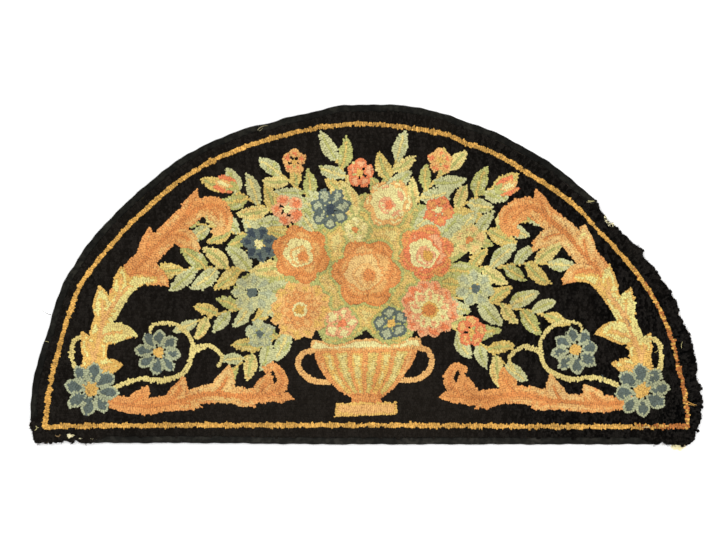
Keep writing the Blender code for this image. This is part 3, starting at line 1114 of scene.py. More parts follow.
def choose_wools(loops, shapes, swayed, random):
    """The wool of every loop: by its row from its shape's edge inwards, with neighbouring rows mixed a
    little and drifting in patches, as one wool runs out and a like one follows."""
    x, y = loops["x"], loops["y"]
    patches = np.sin(x * 61 + 2.1 * np.sin(y * 47)) * np.sin(y * 71 + 0.8)
    mixing = random.uniform(-0.3, 0.3, len(x))
    order = loops["depth"] / bpy.context.scene.rug_sizes.row_spacing + 0.5 * patches + mixing
    if swayed:
        order += 1.5 * np.sin(x * 17 + 0.6) * np.sin(y * 21)
    wools = [
        shapes[label][1][min(max(int(place), 0), len(shapes[label][1]) - 1)]
        for label, place in zip(loops["label"].tolist(), order.tolist())
    ]
    amber = worn_to_amber(loops, random)
    return ["amber" if wool == "gold" and worn else wool for wool, worn in zip(wools, amber)]


def stand_loops(loops, shape, random):
    """Points and faces of the loops, each a little off its row, its size and its height."""
    x, y, count = loops["x"], loops["y"], len(loops["x"])
    on_gold = loops["label"] == GOLD_LINE
    neat = np.where(on_gold, NEAT_GOLD, 1.0)
    turns = loops["across"] + random.normal(0, STRAY_TURN, count) * neat
    stagger = random.normal(0, STRAY_ACROSS, count)
    places = np.column_stack((x + stagger * np.cos(turns), y + stagger * np.sin(turns)))
    places = places + random.normal(0, STRAY_PLACE, (count, 2)) * neat[:, None]
    half_lengths = LOOP_HALF_LENGTH * random.uniform(0.92, 1.08, count)
    half_widths = LOOP_HALF_WIDTH * random.uniform(0.90, 1.10, count)
    top = loops["top"] + random.normal(0, bpy.context.scene.rug_sizes.unevenness, count)
    lumps = 0.5 + 0.5 * np.sin(y * 520 + x * 150 + 2.4 * np.sin(y * 190))
    lumps *= 0.7 + 0.5 * np.sin(y * 331 - x * 87 + 1)
    spill = SPILL_LEAST + SPILL_MORE * np.clip(lumps, 0, 1) ** 1.5
    leans = loops["lean"] * spill[:, None] + random.normal(0, STRAY_LEAN, (count, 2))
    frizzy = on_gold & (x > FRIZZY[0]) & (y < FRIZZY[1])
    leans[frizzy] += random.normal(0, FRIZZY_LEAN, (int(frizzy.sum()), 2))
    sizes = np.column_stack((half_lengths, half_widths))
    heights = np.column_stack((np.full(count, LOOP_ROOT), top))
    return copies_of(shape, places, turns, sizes, heights, leans)


def tones_of(loops, black, random):
    """How light each loop's wool is, from 0 to 1: in drifts, in streaks and by chance."""
    x, y = loops["x"], loops["y"]
    gold_spread, black_spread, colour_spread, skew = 0.16, 0.80, 0.05, 0.22
    drift = np.sin(x * 31 + 1.7 * np.sin(y * 23)) * np.sin(y * 37 + 1)
    chance = 0.8 * loops["streak"] + 0.6 * random.normal(0, 1, len(x))
    on_gold = loops["label"] == GOLD_LINE
    spread = np.where(on_gold, gold_spread, black_spread if black else colour_spread)
    tone = 0.5 + 0.10 * drift + spread * (chance + skew * (chance**2 - 1))
    if black:
        tone -= 0.12
    dull_at_arch_top = on_gold * np.exp(-((x / 0.2) ** 2)) * (y > 0)
    return tone - 0.16 * dull_at_arch_top


def left_half(x):
    """Whether a loop belongs to the left piece."""
    return x < 0


def right_half(x):
    """Whether a loop belongs to the right piece."""
    return x >= 0


def hook_piece(name, shapes_of, keep=None):
    """Makes one piece of pile from the loops of the shapes that belong to it, or of one half of them."""
    loops, shapes, shape = WORK["loops"], WORK["shapes"], WORK["loop"]
    random = np.random.default_rng(SEED + sum(map(ord, name)))
    labels = [label for label, (piece, _) in shapes.items() if piece == shapes_of]
    mine = np.isin(loops["label"], labels)
    if keep is not None:
        mine &= keep(loops["x"])
    loops = {column: values[mine] for column, values in loops.items()}
    count = len(loops["x"])
    wools = choose_wools(loops, shapes, shapes_of == "scrolls", random)
    used = sorted(set(wools))
    points, faces = stand_loops(loops, shape, random)
    indices = np.repeat([used.index(wool) for wool in wools], len(shape[1]))
    piece = joined_mesh(name, points, faces, [wool_material(wool) for wool in used], indices)

    black = used == ["black"]
    tone = tones_of(loops, black, random)
    # Painted light and shade: each loop's tone is raised on its ridge as a painted highlight and lowered
    # down its sides as painted shade, and in black wool more so
    on_ridge = shape[0][:, 2] > 0.99
    ridge_highlight_side_shade = np.where(on_ridge, 0.26, -0.34) * (1.5 if black else 0.86)
    strands = shape[0] * (LOOP_HALF_LENGTH, LOOP_HALF_WIDTH, 0)
    strands[:, 1] += PLY_SLANT * strands[:, 0]
    strands = strands[None] + random.uniform(0, PLY_PITCH * 9, (count, 1, 3))
    spin(piece, np.clip(np.add.outer(tone, ridge_highlight_side_shade), 0, 1), strands)
    bake_map(piece, shape[2], count)
    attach(piece, "root")
    return piece


# Finishes

# The bands of a wave texture lie this far apart at a scale of 1, in metres
WAVE_PITCH = 0.31416

# The brown that the black wool is mixed towards, and the middle of the stretch of it that is trodden brown,
# in metres
BROWN_FOR_BLACK = (0.0206, 0.0162, 0.0118)
TRODDEN_MIDDLE = (-0.05, -0.36, 0)

# What is left of each of red, green and blue where a coloured wool is soiled
SOILED = (0.86, 0.78, 0.66)

# The binding's black twill, where it is darkest and where it is worn palest
TWILL = (0.0088, 0.0085, 0.0068), (0.0285, 0.0270, 0.0200)
WORN_TWILL = (0.0146, 0.0140, 0.0115), (0.0450, 0.0412, 0.0330)

BURLAP_TAN = (0.36, 0.235, 0.105)
BURLAP_PALE = (1.0, 0.80, 0.47)
# The burlap under the loops is coloured this dark as painted shade, the shade deep between the loops; the
# burlap itself is tan
SHADE_DARK_BURLAP = (0.080, 0.060, 0.040)
BURLAP_PITCH = 0.0021


def straight(colour):
    """A colour as the eye sees it, turned into the light that it stands for."""
    return [c / 12.92 if c <= 0.04045 else ((c + 0.055) / 1.055) ** 2.4 for c in colour]


def new_material(name, roughness, sheen, sheen_roughness=0.5, specular=0.25):
    """A material with its constant values set, and its shader."""
    material = bpy.data.materials.new(name)
    material.use_nodes = True
    shader = material.node_tree.nodes["Principled BSDF"]
    shader.inputs["Roughness"].default_value = roughness
    shader.inputs["Sheen Weight"].default_value = sheen
    shader.inputs["Sheen Roughness"].default_value = sheen_roughness
    shader.inputs["Specular IOR Level"].default_value = specular
    return material, shader


def add_node(material, kind, inputs=None, **settings):
    """A node of this kind, with each named input set to a value or linked to a socket."""
    node = material.node_tree.nodes.new(kind)
    for setting, value in settings.items():
        setattr(node, setting, value)
    for socket, value in (inputs or {}).items():
        if isinstance(value, bpy.types.NodeSocket):
            material.node_tree.links.new(value, node.inputs[socket])
        else:
            node.inputs[socket].default_value = value
    return node


def mixed(material, share, first, second, blend="MIX"):
    """A colour mix of two colours or sockets by a share."""
    node = add_node(material, "ShaderNodeMix", data_type="RGBA", blend_type=blend)
    factor, colours = node.inputs[0], node.inputs[6:8]
    for socket, value in ((factor, share), (colours[0], first), (colours[1], second)):
        if isinstance(value, bpy.types.NodeSocket):
            link(material, value, socket)
        elif isinstance(value, float):
            socket.default_value = value
        else:
            socket.default_value = (*value[:3], 1)
    return node.outputs[2]


def link(material, output, socket):
    """Joins a node's output to another's input."""
    material.node_tree.links.new(output, socket)


def place_on_rug(material):
    """Where a point lies on the rug, for patterns in metres."""
    return add_node(material, "ShaderNodeTexCoord").outputs["Object"]


def noise(material, place, scale, detail):
    """A noise pattern, whose Fac is its height."""
    return add_node(material, "ShaderNodeTexNoise", {"Vector": place, "Scale": scale, "Detail": detail})


def waves(material, place, pitch, across, distortion, detail, detail_scale):
    """Bands at this pitch across X or Y, such as plies or threads."""
    inputs = {
        "Vector": place, "Scale": WAVE_PITCH / pitch, "Distortion": distortion, "Detail": detail,
        "Detail Scale": detail_scale,
    }
    return add_node(material, "ShaderNodeTexWave", inputs, bands_direction=across).outputs["Fac"]


def share_between(material, value, low, high, most=1.0):
    """How far a value has come from low to high, where high counts as the most."""
    inputs = {"Value": value, "From Min": low, "From Max": high, "To Max": most}
    return add_node(material, "ShaderNodeMapRange", inputs).outputs[0]


def raise_by(material, shader, height, strength, distance, **settings):
    """Raises the surface by a pattern's height. A second call raises it further."""
    inputs = {"Height": height, "Strength": strength, "Distance": distance}
    if shader.inputs["Normal"].is_linked:
        inputs["Normal"] = shader.inputs["Normal"].links[0].from_socket
    bump = add_node(material, "ShaderNodeBump", inputs, **settings)
    link(material, bump.outputs[0], shader.inputs["Normal"])


def wool_material(wool):
    """Hand-dyed wool: its tone varies from loop to loop, with a painted highlight on each loop's ridge and
    painted shade down its sides and in the furrows between its plies, and its plies and fine fibres catch
    the light.
    """
    name = "wool_" + wool
    if name in bpy.data.materials:
        return bpy.data.materials[name]
    colour = np.array(straight(getattr(bpy.context.scene.rug_wools, wool)))
    dark = wool == "black"
    sheen, gloss = (0.015, 0.03) if dark else (0.20, 0.12)
    material, shader = new_material(name, 0.95, sheen, 0.45, gloss)
    shader.inputs["Sheen Tint"].default_value = (*(0.5 + 0.5 * colour / colour.max()), 1)
    tone = add_node(material, "ShaderNodeAttribute", attribute_name="tone").outputs["Fac"]
    # The lightest end of the tone is paled a little towards white, as a painted highlight
    low, high, pale = (0.02, 7.40, 0.0) if dark else (0.38, 1.71, 0.025)
    shade = mixed(material, tone, colour * low, np.minimum(colour * high + pale, 0.95))
    yarn = add_node(material, "ShaderNodeAttribute", attribute_name="ply").outputs["Vector"]
    plies = waves(material, yarn, PLY_PITCH, "Y", 1.5, 1.0, 2.0)
    # Painted shade in the furrows between the plies and painted light on their crests
    ply_light_and_shade = mixed(material, plies, (0.80, 0.775, 0.75), (1.20, 1.20, 1.20))
    shade = mixed(material, 1.0, shade, ply_light_and_shade, "MULTIPLY")
    place = place_on_rug(material)
    fluff = noise(material, place, 900.0, 1.0).outputs["Fac"]
    patches = noise(material, place, 9.0, 3.0).outputs["Fac"]
    spun = mixed(material, 0.35, shade, fluff, "SOFT_LIGHT")
    worn = black_towards_brown(material, place, patches, spun) if dark else soiled(material, patches, spun)
    link(material, worn, shader.inputs["Base Color"])
    fibres = noise(material, place, 1900.0, 1.0).outputs["Fac"]
    raise_by(material, shader, plies, 0.6, 0.0006)
    raise_by(material, shader, fibres, 0.45, 0.0005)
    return material


def black_towards_brown(material, place, patches, wool):
    """Black wool mixed towards brown: more of it towards the left, round the trodden middle and in patches.
    """
    along = add_node(material, "ShaderNodeSeparateXYZ", {"Vector": place}).outputs["X"]
    off_middle = add_node(
        material, "ShaderNodeVectorMath", {0: place, 1: TRODDEN_MIDDLE}, operation="DISTANCE"
    ).outputs["Value"]
    brown_share = 0.0
    for value, none_at, most_at, most in (
        (along, 0.66, 0.0, 0.52),
        (off_middle, 0.42, 0.06, 0.80),
        (patches, 0.45, 0.75, 0.40),
    ):
        share = share_between(material, value, none_at, most_at, most)
        brown_share = add_node(material, "ShaderNodeMath", {0: share, 1: brown_share}, operation="ADD").outputs[0]
    return mixed(material, brown_share, wool, mixed(material, 0.5, wool, BROWN_FOR_BLACK))


def soiled(material, patches, wool):
    """Coloured wool with soil in patches."""
    dirty = mixed(material, 1.0, wool, SOILED, "MULTIPLY")
    return mixed(material, share_between(material, patches, 0.45, 0.75, 0.8), wool, dirty)


def woven_height(material, place, pitch):
    """The height of a plain weave with this pitch between threads, from two crossing waves."""
    weave = add_node(material, "ShaderNodeMath", operation="MAXIMUM")
    for socket, across in zip(weave.inputs, ("X", "Y")):
        link(material, waves(material, place, pitch, across, 1.2, 2.0, 1.5), socket)
    return weave.outputs[0]


def burlap_material(name, colour):
    """Natural burlap in plain weave, with painted shade between its threads, slubs and a little dirt."""
    material, shader = new_material(name, 0.9, 0.1)
    place = place_on_rug(material)
    weave = woven_height(material, place, BURLAP_PITCH)
    slubs = noise(material, place, 160.0, 4.0).outputs["Color"]
    # Painted shade: where the weave is low, between the threads, the colour darkens to this share
    thread = mixed(material, weave, np.array(colour) * 0.30, colour)
    link(material, mixed(material, 0.5, thread, slubs, "SOFT_LIGHT"), shader.inputs["Base Color"])
    raise_by(material, shader, weave, 0.8, 0.0006)
    return material


def stitched_back_material():
    """The back of the rug: burlap between level rows of the wool's flat stitches."""
    material, shader = new_material("stitched_back", 0.95, 0.12)
    stitches = add_node(material, "ShaderNodeTexBrick", {
        "Vector": place_on_rug(material),
        "Scale": 1.0,
        "Brick Width": 0.0062,
        "Row Height": 0.00525,
        "Mortar Size": 0.0006,
        "Mortar Smooth": 0.8,
        "Color1": (0.020, 0.018, 0.017, 1),
        "Color2": (0.034, 0.029, 0.025, 1),
        "Mortar": (0.21, 0.15, 0.08, 1),
    })
    link(material, stitches.outputs["Color"], shader.inputs["Base Color"])
    raise_by(material, shader, stitches.outputs["Fac"], 0.8, 0.0008, invert=True)
    return material


def binding_material(name, dark, pale):
    """Black cotton twill, faded in patches and streaks, with painted shade between its threads."""
    material, shader = new_material(name, 0.95, 0.04, 0.4, 0.08)
    place = place_on_rug(material)
    weave = woven_height(material, place, 0.0009)
    patches = noise(material, place, 15.0, 4.0).outputs["Fac"]
    blots = noise(material, place, 110.0, 3.0).outputs["Fac"]
    worn = share_between(material, patches, 0.38, 0.68)
    blotted = share_between(material, blots, 0.42, 0.62)
    dark, pale = np.array(dark), np.array(pale)
    cloth = mixed(material, worn, dark, pale)
    cloth = mixed(material, blotted, mixed(material, 0.8, cloth, dark * 0.4), cloth)
    # Painted shade between the twill's threads, where the weave is low
    link(material, mixed(material, weave, dark * 0.5, cloth), shader.inputs["Base Color"])
    raise_by(material, shader, weave, 0.5, 0.0003)
    return material


def thread_material(name, colour, low=0.55):
    """Spun thread, a little uneven in colour, down to this share of it."""
    material, shader = new_material(name, 0.9, 0.2)
    twist = noise(material, place_on_rug(material), 700.0, 2.0).outputs["Fac"]
    colour = np.array(colour)
    spun = mixed(material, twist, colour * low, np.minimum(colour * 1.35, 1))
    link(material, spun, shader.inputs["Base Color"])
    raise_by(material, shader, twist, 0.6, 0.0003)
    return material


def floor_material():
    """A plain pale floor, very slightly mottled."""
    material, shader = new_material("pale_floor", 0.75, 0.0, 0.5, 0.2)
    mottle = noise(material, place_on_rug(material), 1.4, 3.0).outputs["Fac"]
    pale = mixed(material, mottle, (0.955, 0.955, 0.952), (0.97, 0.97, 0.967))
    link(material, pale, shader.inputs["Base Color"])
    return material


# Burlap, binding and frayed ends

# The burlap's top under the loops
BURLAP_TOP = 0.0019

# The binding: its width that shows in front and the width folded under, the height of its front, its
# thickness, and the size of its folds
BINDING_FRONT = 0.0140
BINDING_BACK = 0.0160
BINDING_TOP = 0.0050
BINDING_CLOTH = 0.0010
BINDING_FOLD = 0.0008

# Every thread and yarn end has this tone, in the middle of the wool's own
THREAD_TONE = 0.6


def height_of(rug, place):
    """How high the rug stands at this place, or None beside it."""
    hit = rug.ray_cast(place + Vector((0, 0, 1)), (0, 0, -1))[0]
    return None if hit is None else hit.z


def draw_in_rim(mesh):
    """Draws the burlap's edge in, and returns the places along its bare stretches, each with its way out."""
    inside, outside, pile_height, tuck = 0.007, 0.004, 0.006, 0.001
    rug = surface_of("hooked_rug")
    middle = Vector((0, MIDDLE_Y, 0))
    bare = []
    for point in mesh.vertices:
        outwards = point.co - middle
        outwards.z = 0
        outwards.normalize()
        height = height_of(rug, point.co - outwards * inside)
        on_rim = height_of(rug, point.co + outwards * outside) is None
        point.co -= Vector((*drawn_in(point.co.x, point.co.y), 0))
        if on_rim and height is not None and height > pile_height:
            point.co -= outwards * tuck
            if point.co.z > BURLAP_TOP - 0.0001:
                bare.append((point.co.copy(), outwards))
    return bare


def lay_burlap():
    """The burlap foundation: the solid's own outline, cut off level under the loops."""
    deselect_all()
    burlap = SOLIDS["hooked_rug"].copy()
    burlap.data = SOLIDS["hooked_rug"].data.copy()
    burlap.name = burlap.data.name = "burlap_foundation"
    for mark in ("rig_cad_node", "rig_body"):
        del burlap[mark]
    bpy.context.scene.collection.objects.link(burlap)
    bpy.context.view_layer.objects.active = burlap
    burlap.select_set(True)
    bpy.ops.object.mode_set(mode="EDIT")
    bpy.ops.mesh.select_all(action="SELECT")
    bpy.ops.mesh.remove_doubles(threshold=0.00001)
    bpy.ops.mesh.bisect(plane_co=(0, 0, BURLAP_TOP), plane_no=(0, 0, 1), use_fill=True, clear_outer=True)
    bpy.ops.mesh.select_all(action="SELECT")
    bpy.ops.mesh.normals_make_consistent(inside=False)
    bpy.ops.object.mode_set(mode="OBJECT")
    WORK["bare_rim"] = draw_in_rim(burlap.data)
    burlap.data.materials.clear()
    # Painted shade: the burlap's top under the loops is coloured dark like the shade between them
    burlap.data.materials.append(burlap_material("burlap_under_the_loops", SHADE_DARK_BURLAP))
    burlap.data.materials.append(burlap_material("burlap_edge", BURLAP_TAN))
    burlap.data.materials.append(stitched_back_material())
    under_loops, edge, back, level = 0, 1, 2, 0.7
    for face in burlap.data.polygons:
        face.use_smooth = False
        face.material_index = edge
        if face.normal.z > level:
            face.material_index = under_loops
        elif face.normal.z < -level:
            face.material_index = back
    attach(burlap, "root")
    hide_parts("hooked_rug")
    return burlap


def tube(line, radius, sides=4, taper=0.45):
    """Points and faces of a thin closed tube along a line, thinner towards its end."""
    line = np.array(line, float)
    along = np.gradient(line, axis=0)
    along /= np.linalg.norm(along, axis=1, keepdims=True) + 1e-12
    aside = np.cross(along, (0.0, 0.0, 1.0))
    aside /= np.linalg.norm(aside, axis=1, keepdims=True) + 1e-12
    up = np.cross(aside, along)
    angle = np.arange(sides) * 2 * math.pi / sides
    width = radius * np.linspace(1, taper, len(line))
    ring = aside[:, None] * np.cos(angle)[None, :, None] + up[:, None] * np.sin(angle)[None, :, None]
    points = (line[:, None] + ring * width[:, None, None]).reshape(-1, 3)
    points = np.vstack((points, line[0], line[-1]))
    faces = []
    for i in range(len(line) - 1):
        for j in range(sides):
            a, b = i * sides + j, i * sides + (j + 1) % sides
            faces += [(a, b, b + sides), (a, b + sides, a + sides)]
    last = (len(line) - 1) * sides
    start, end = len(points) - 2, len(points) - 1
    for j in range(sides):
        faces.append((start, (j + 1) % sides, j))
        faces.append((end, last + j, last + (j + 1) % sides))
    return points, np.array(faces)


def threads_piece(name, threads, material, sides=4):
    """One piece from many tubes, each given as its line and its radius."""
    points, faces, count = [], [], 0
    for line, radius in threads:
        tube_points, tube_faces = tube(line, radius, sides)
        points.append(tube_points)
        faces.append(tube_faces + count)
        count += len(tube_points)
    piece = joined_mesh(name, np.vstack(points), np.vstack(faces), [material])
    spin(piece, np.full(count, THREAD_TONE), np.arange(count)[:, None] * (0, 0.37 * PLY_PITCH, 0))
    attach(piece, "root")
    return piece


def woven_oval(x, y, length, width, turn):
    """Burlap threads that cross over and under each other inside an oval."""
    radius, level, wave = 0.0011, 0.0046, 0.0005
    middle = np.array((x * CM, y * CM + BASE_Y))
    axes = heading(turn), heading(turn + 90)
    reach = np.array((length, width)) * CM / 2
    threads = []
    for way in (0, 1):
        along, across = axes[way], axes[1 - way]
        half, span = reach[way], reach[1 - way]
        for k in range(-int(span / BURLAP_PITCH), int(span / BURLAP_PITCH) + 1):
            off = k * BURLAP_PITCH
            end = half * math.sqrt(max(0.05, 1 - (off / (span + BURLAP_PITCH)) ** 2))
            crossings = max(3, round(2 * end / BURLAP_PITCH) + 1)
            line = []
            for i, t in enumerate(np.linspace(-end, end, crossings)):
                lift = wave if (i + k + way) % 2 else -wave
                line.append((*(middle + along * t + across * off), level + lift))
            threads.append((line, radius))
    return threads


def lay_worn_patches():
    """Woven burlap threads where the loops have worn away, the last spot of them soiled."""
    *clean, dirty = [woven_oval(*spot) for spot in WORN_SPOTS]
    pale = thread_material("pale_burlap_thread", BURLAP_PALE, 0.9)
    tan = thread_material("burlap_thread", BURLAP_TAN)
    threads_piece("worn_burlap", sum(clean, []), pale)
    threads_piece("soiled_burlap", dirty, tan)


def lengths_along(line):
    """How far along a line each of its points is."""
    return np.concatenate(((0,), np.linalg.norm(np.diff(line, axis=0), axis=1).cumsum()))


def at_length(length, along, values):
    """The place or direction at this length along a line."""
    return np.array([np.interp(length, along, values[:, i]) for i in (0, 1)])


def binding_path(node):
    """The outer edge of a binding as its solid has it, from left to right, evenly stepped and smoothed."""
    step, rounds = 0.004, 6
    corners = {v.co.xy[:] for v in SOLIDS[node].data.vertices if abs(v.co.z - BINDING_FOLD) < 0.00005}
    if node == "binding_base":
        corners = np.array(sorted(corners))
    else:
        corners = np.array(
            sorted(corners, key=lambda c: -math.atan2(c[1] - MIDDLE_Y, c[0]) % math.tau)
        )
    along = lengths_along(corners)
    line = np.column_stack([
        np.interp(np.linspace(0, along[-1], round(along[-1] / step) + 1), along, corners[:, i])
        for i in (0, 1)
    ])
    for _ in range(rounds):
        line[1:-1] = (line[:-2] + 2 * line[1:-1] + line[2:]) / 4
    return line


def binding_section():
    """The section of a folded binding, from its back edge under the rug, round the rim, to its front edge:
    the distance in from the rim and the height of each point."""
    fold, under, top = BINDING_FOLD, BINDING_CLOTH, BINDING_TOP
    back = [(BINDING_BACK, under), (BINDING_BACK / 2, under), (2 * fold, under)]
    rim = [
        (fold * 0.4, under + fold * 0.4),
        (0.0, under + 1.5 * fold),
        (0.0, top - 2 * fold),
        (fold * 0.4, top - fold * 0.5),
    ]
    front = [(2 * fold, top)] + [(inset, top) for inset in (0.0045, 0.0070, 0.0095, 0.0118)]
    turned_down = [(BINDING_FRONT, top - 0.0001)]
    return back + rim + front + turned_down


def bind_edge(node, material, random):
    """A length of cloth binding folded over the rug's edge, a little puckered by its stitches."""
    bulge, waver, pucker_height = 0.0011, 0.0006, 0.00022
    line = binding_path(node)
    line -= np.column_stack(drawn_in(*line.T))
    inwards = sides_of(line) * (-1 if node != "binding_base" else 1)
    along = lengths_along(line)
    line -= inwards * bulge * smooth_noise(along, (0.033, 0.059, 0.143), random)[:, None]
    wobble = smooth_noise(along, (0.021, 0.043, 0.009), random)
    pucker = smooth_noise(along, (0.0075, 0.011, 0.017), random)
    rows = []
    for inset, height in binding_section():
        on_front = height > BINDING_TOP / 2 and inset > 2 * BINDING_FOLD
        share = inset / BINDING_FRONT if on_front else 0.0
        reach = inset + waver * wobble * share
        lift = pucker_height * pucker * min(1.0, share * 2)
        rows.append(np.column_stack((line + inwards * reach[:, None], height + lift)))
    grid = np.array(rows)
    across, count = grid.shape[:2]
    number = np.arange(across * count).reshape(across, count)
    corners = number[:-1, :-1], number[:-1, 1:], number[1:, 1:], number[1:, :-1]
    quads = np.stack(corners, -1).reshape(-1, 4)
    if node == "binding_base":
        quads = quads[:, ::-1]
    cloth = joined_mesh(node + "_cloth", grid.reshape(-1, 3), quads, [material])
    deselect_all()
    bpy.context.view_layer.objects.active = cloth
    cloth.select_set(True)
    thick = cloth.modifiers.new("cloth", "SOLIDIFY")
    thick.thickness = BINDING_CLOTH
    thick.offset = -1
    bpy.ops.object.modifier_apply(modifier="cloth")
    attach(cloth, "root")
    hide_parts(node)
    return line, inwards, along


def smooth_noise(along, lengths, random):
    """An uneven wave between about -1 and 1 along a line."""
    wave = sum(np.sin(math.tau * along / length + random.uniform(0, math.tau)) for length in lengths)
    return wave / len(lengths)


def stitch_bindings(paths, random):
    """Small slanting stitches that hold the binding's front edge down."""
    spacing, half_slant, radius = 0.0085, 0.0016, 0.00045
    threads = []
    for line, inwards, along in paths:
        for at in np.arange(0.006, along[-1] - 0.004, spacing):
            at += random.uniform(-0.001, 0.001)
            place, inner = at_length(at, along, line), at_length(at, along, inwards)
            forward = np.array((inner[1], -inner[0])) * half_slant
            start = place + inner * (BINDING_FRONT - 0.0022) - forward
            end = place + inner * (BINDING_FRONT + 0.0012) + forward
            stitch = (
                (*start, BINDING_TOP - 0.0003),
                (*(start + end) / 2, BINDING_TOP + 0.0005),
                (*end, BINDING_TOP - 0.0004),
            )
            threads.append((stitch, radius))
    material = thread_material("binding_thread", (0.016, 0.014, 0.013))
    return threads_piece("binding_stitches", threads, material)


def shed_lint(paths, random):
    """Short fibres that stand out of the bindings' worn edges."""
    spacing, radius = 0.004, 0.00018
    threads = []
    for line, inwards, along in paths:
        for at in np.arange(0.003, along[-1] - 0.003, spacing):
            at += random.uniform(-0.002, 0.002)
            place, inner = at_length(at, along, line), at_length(at, along, inwards)
            degrees = math.degrees(math.atan2(-inner[1], -inner[0])) + random.uniform(-75, 75)
            length = random.uniform(0.0010, 0.0042)
            fibre = arc(*place, degrees, length, random.uniform(-120, 120), 3)
            z = random.uniform(0.0012, 0.0042) - np.linspace(0, 0.0008, len(fibre))
            threads.append((np.column_stack((fibre, z)), radius))
    material = thread_material("binding_lint", (0.020, 0.018, 0.015))
    return threads_piece("binding_lint", threads, material, sides=3)


LOOSE_ENDS = (
    # wool, along, above the base and height in centimetres, heading, length, curl and radius
    ("gold", 69.2, 8.8, 1.0, -35, 2.0, 30, 0.10),
    ("gold", 69.0, 8.2, 1.0, 5, 1.7, -30, 0.09),
    ("straw", 62.0, 19.4, 0.9, 20, 2.6, 80, 0.06),
    ("cream", 67.8, 20.3, 0.9, 110, 1.6, -60, 0.05),
    ("black", -67.7, 27.5, 0.7, 170, 2.4, -40, 0.06),
    ("cream", -68.2, 21.6, 0.7, 150, 0.9, 30, 0.05),
    ("drab", -23.3, 67.2, 0.6, 52, 2.7, -64, 0.07),
    ("drab", -23.0, 67.0, 0.6, 20, 1.2, 40, 0.05),
    ("cream", 47.7, 51.95, 0.75, -12, 1.4, 24, 0.11),
    ("drab", 47.4, 51.7, 0.75, 0, 1.1, -20, 0.09),
    ("cream", 60.8, 3.4, 1.05, 178, 1.5, 10, 0.10),
    ("cream", -70.9, 3.6, 0.98, 300, 0.8, 60, 0.08),
    ("cream", -70.7, 3.1, 0.98, 250, 0.7, -60, 0.08),
    ("black", -71.0, 2.9, 0.4, 184, 1.6, -20, 0.06),
    ("black", -67.9, 1.4, 0.4, 180, 1.5, 20, 0.06),
    ("black", -68.2, 5.2, 0.4, 190, 1.2, -50, 0.06),
    ("black", -43.4, 0.5, 0.4, 250, 1.0, 140, 0.08),
    ("black", -35.1, 0.5, 0.4, 285, 1.0, -120, 0.08),
    ("slate", 56.4, 25.0, 0.95, 60, 2.2, 120, 0.07),
    ("slate", 50.6, 14.6, 0.95, 320, 2.0, -120, 0.07),
    ("pale_blue", 57.2, 12.4, 0.95, 15, 2.4, 140, 0.07),
    ("pale_blue", 43.2, 22.6, 0.95, 150, 1.8, -120, 0.07),
)


def pull_loose_ends():
    """Single yarn ends that have worked loose, each curling over the pile or the floor."""
    rise, sag = 0.0022, 0.0008
    by_wool = {}
    for wool, x, y, height, degrees, length, curl, radius in LOOSE_ENDS:
        line = arc(x, y, degrees, length, curl, 8) * CM + (0, BASE_Y)
        share = np.linspace(0, 1, len(line))
        z = height * CM + rise * np.sin(share * math.pi) - share * sag
        by_wool.setdefault(wool, []).append((np.column_stack((line, z)), radius * CM))
    for wool, threads in sorted(by_wool.items()):
        threads_piece("loose_end_" + wool, threads, wool_material(wool))


def fray_bare_edge(random):
    """Short ends of wool and burlap along the edge where no binding is left, and more of them, many of them
    pale and higher, where it is torn."""
    ends, ends_where_torn, burlap_share, pale_share, torn_lift = 4, 14, 0.16, 0.6, 0.0035
    wool, burlap, pale = [], [], []
    along, above, reach = TORN_EDGE
    torn = Vector((along * CM, above * CM + BASE_Y))
    for corner, outwards in WORK["bare_rim"]:
        near = (corner.xy - torn).length < reach * CM
        for _ in range(ends_where_torn if near else ends):
            aside = Vector((-outwards.y, outwards.x, 0)) * random.uniform(-0.004, 0.004)
            start = corner + aside - outwards * 0.002
            start.z = random.uniform(0.0014, 0.0065)
            degrees = math.degrees(math.atan2(outwards.y, outwards.x)) + random.uniform(-55, 55)
            length = random.uniform(0.0035, 0.0075)
            line = arc(start.x, start.y, degrees, length, random.uniform(-90, 90), 4)
            z = start.z + np.linspace(0, 1, len(line)) ** 2 * -min(0.0012, start.z - 0.0007)
            threads = burlap if random.random() < burlap_share else wool
            if near and random.random() < pale_share:
                threads, z = pale, z + torn_lift
            threads.append((np.column_stack((line, z)), random.uniform(0.0003, 0.0007)))
    threads_piece("frayed_wool", wool, wool_material("black"))
    threads_piece("frayed_burlap", burlap, bpy.data.materials["burlap_thread"])
    threads_piece("frayed_pale_burlap", pale, bpy.data.materials["pale_burlap_thread"])


def fray_tuft(random):
    """Loose burlap threads that lie out of the right corner, longest a little left of their middle."""
    thread_count, hidden_start = 90, 0.004
    low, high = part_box("burlap_tuft")
    threads = []
    for _ in range(thread_count):
        share = random.uniform(0.03, 0.97)
        x = low.x + share * (high.x - low.x)
        reach = (high.y - low.y) * max(0.35, 1.05 - 1.5 * abs(share - 0.45)) * random.uniform(0.7, 1.0)
        degrees = -90 + 40 * (share - 0.5) + random.uniform(-16, 16)
        curl = random.uniform(-60, 60)
        line = arc(x, high.y + hidden_start, degrees, reach + hidden_start, curl, 7)
        line[:, 1] = np.maximum(line[:, 1], low.y)
        z = 0.0006 + 0.0012 * random.random() * np.linspace(1, 0.2, len(line))
        threads.append((np.column_stack((line, z)), random.uniform(0.00035, 0.0006)))
    pale = bpy.data.materials["pale_burlap_thread"]
    tuft = threads_piece("burlap_tuft_threads", threads, pale)
    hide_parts("burlap_tuft")


# Stage

# The photo's width in pixels, its scale on the binding's front, and where its middle lies
PHOTO_WIDTH = 720
METRES_A_PIXEL = 0.00215
PHOTO_MIDDLE = (-0.0129, -0.0005)

# The camera's lens and sensor, in millimetres
LENS, SENSOR_WIDTH = 100, 36

FLOOR_SIZE = 60
FLOOR_DROP = 0.0002

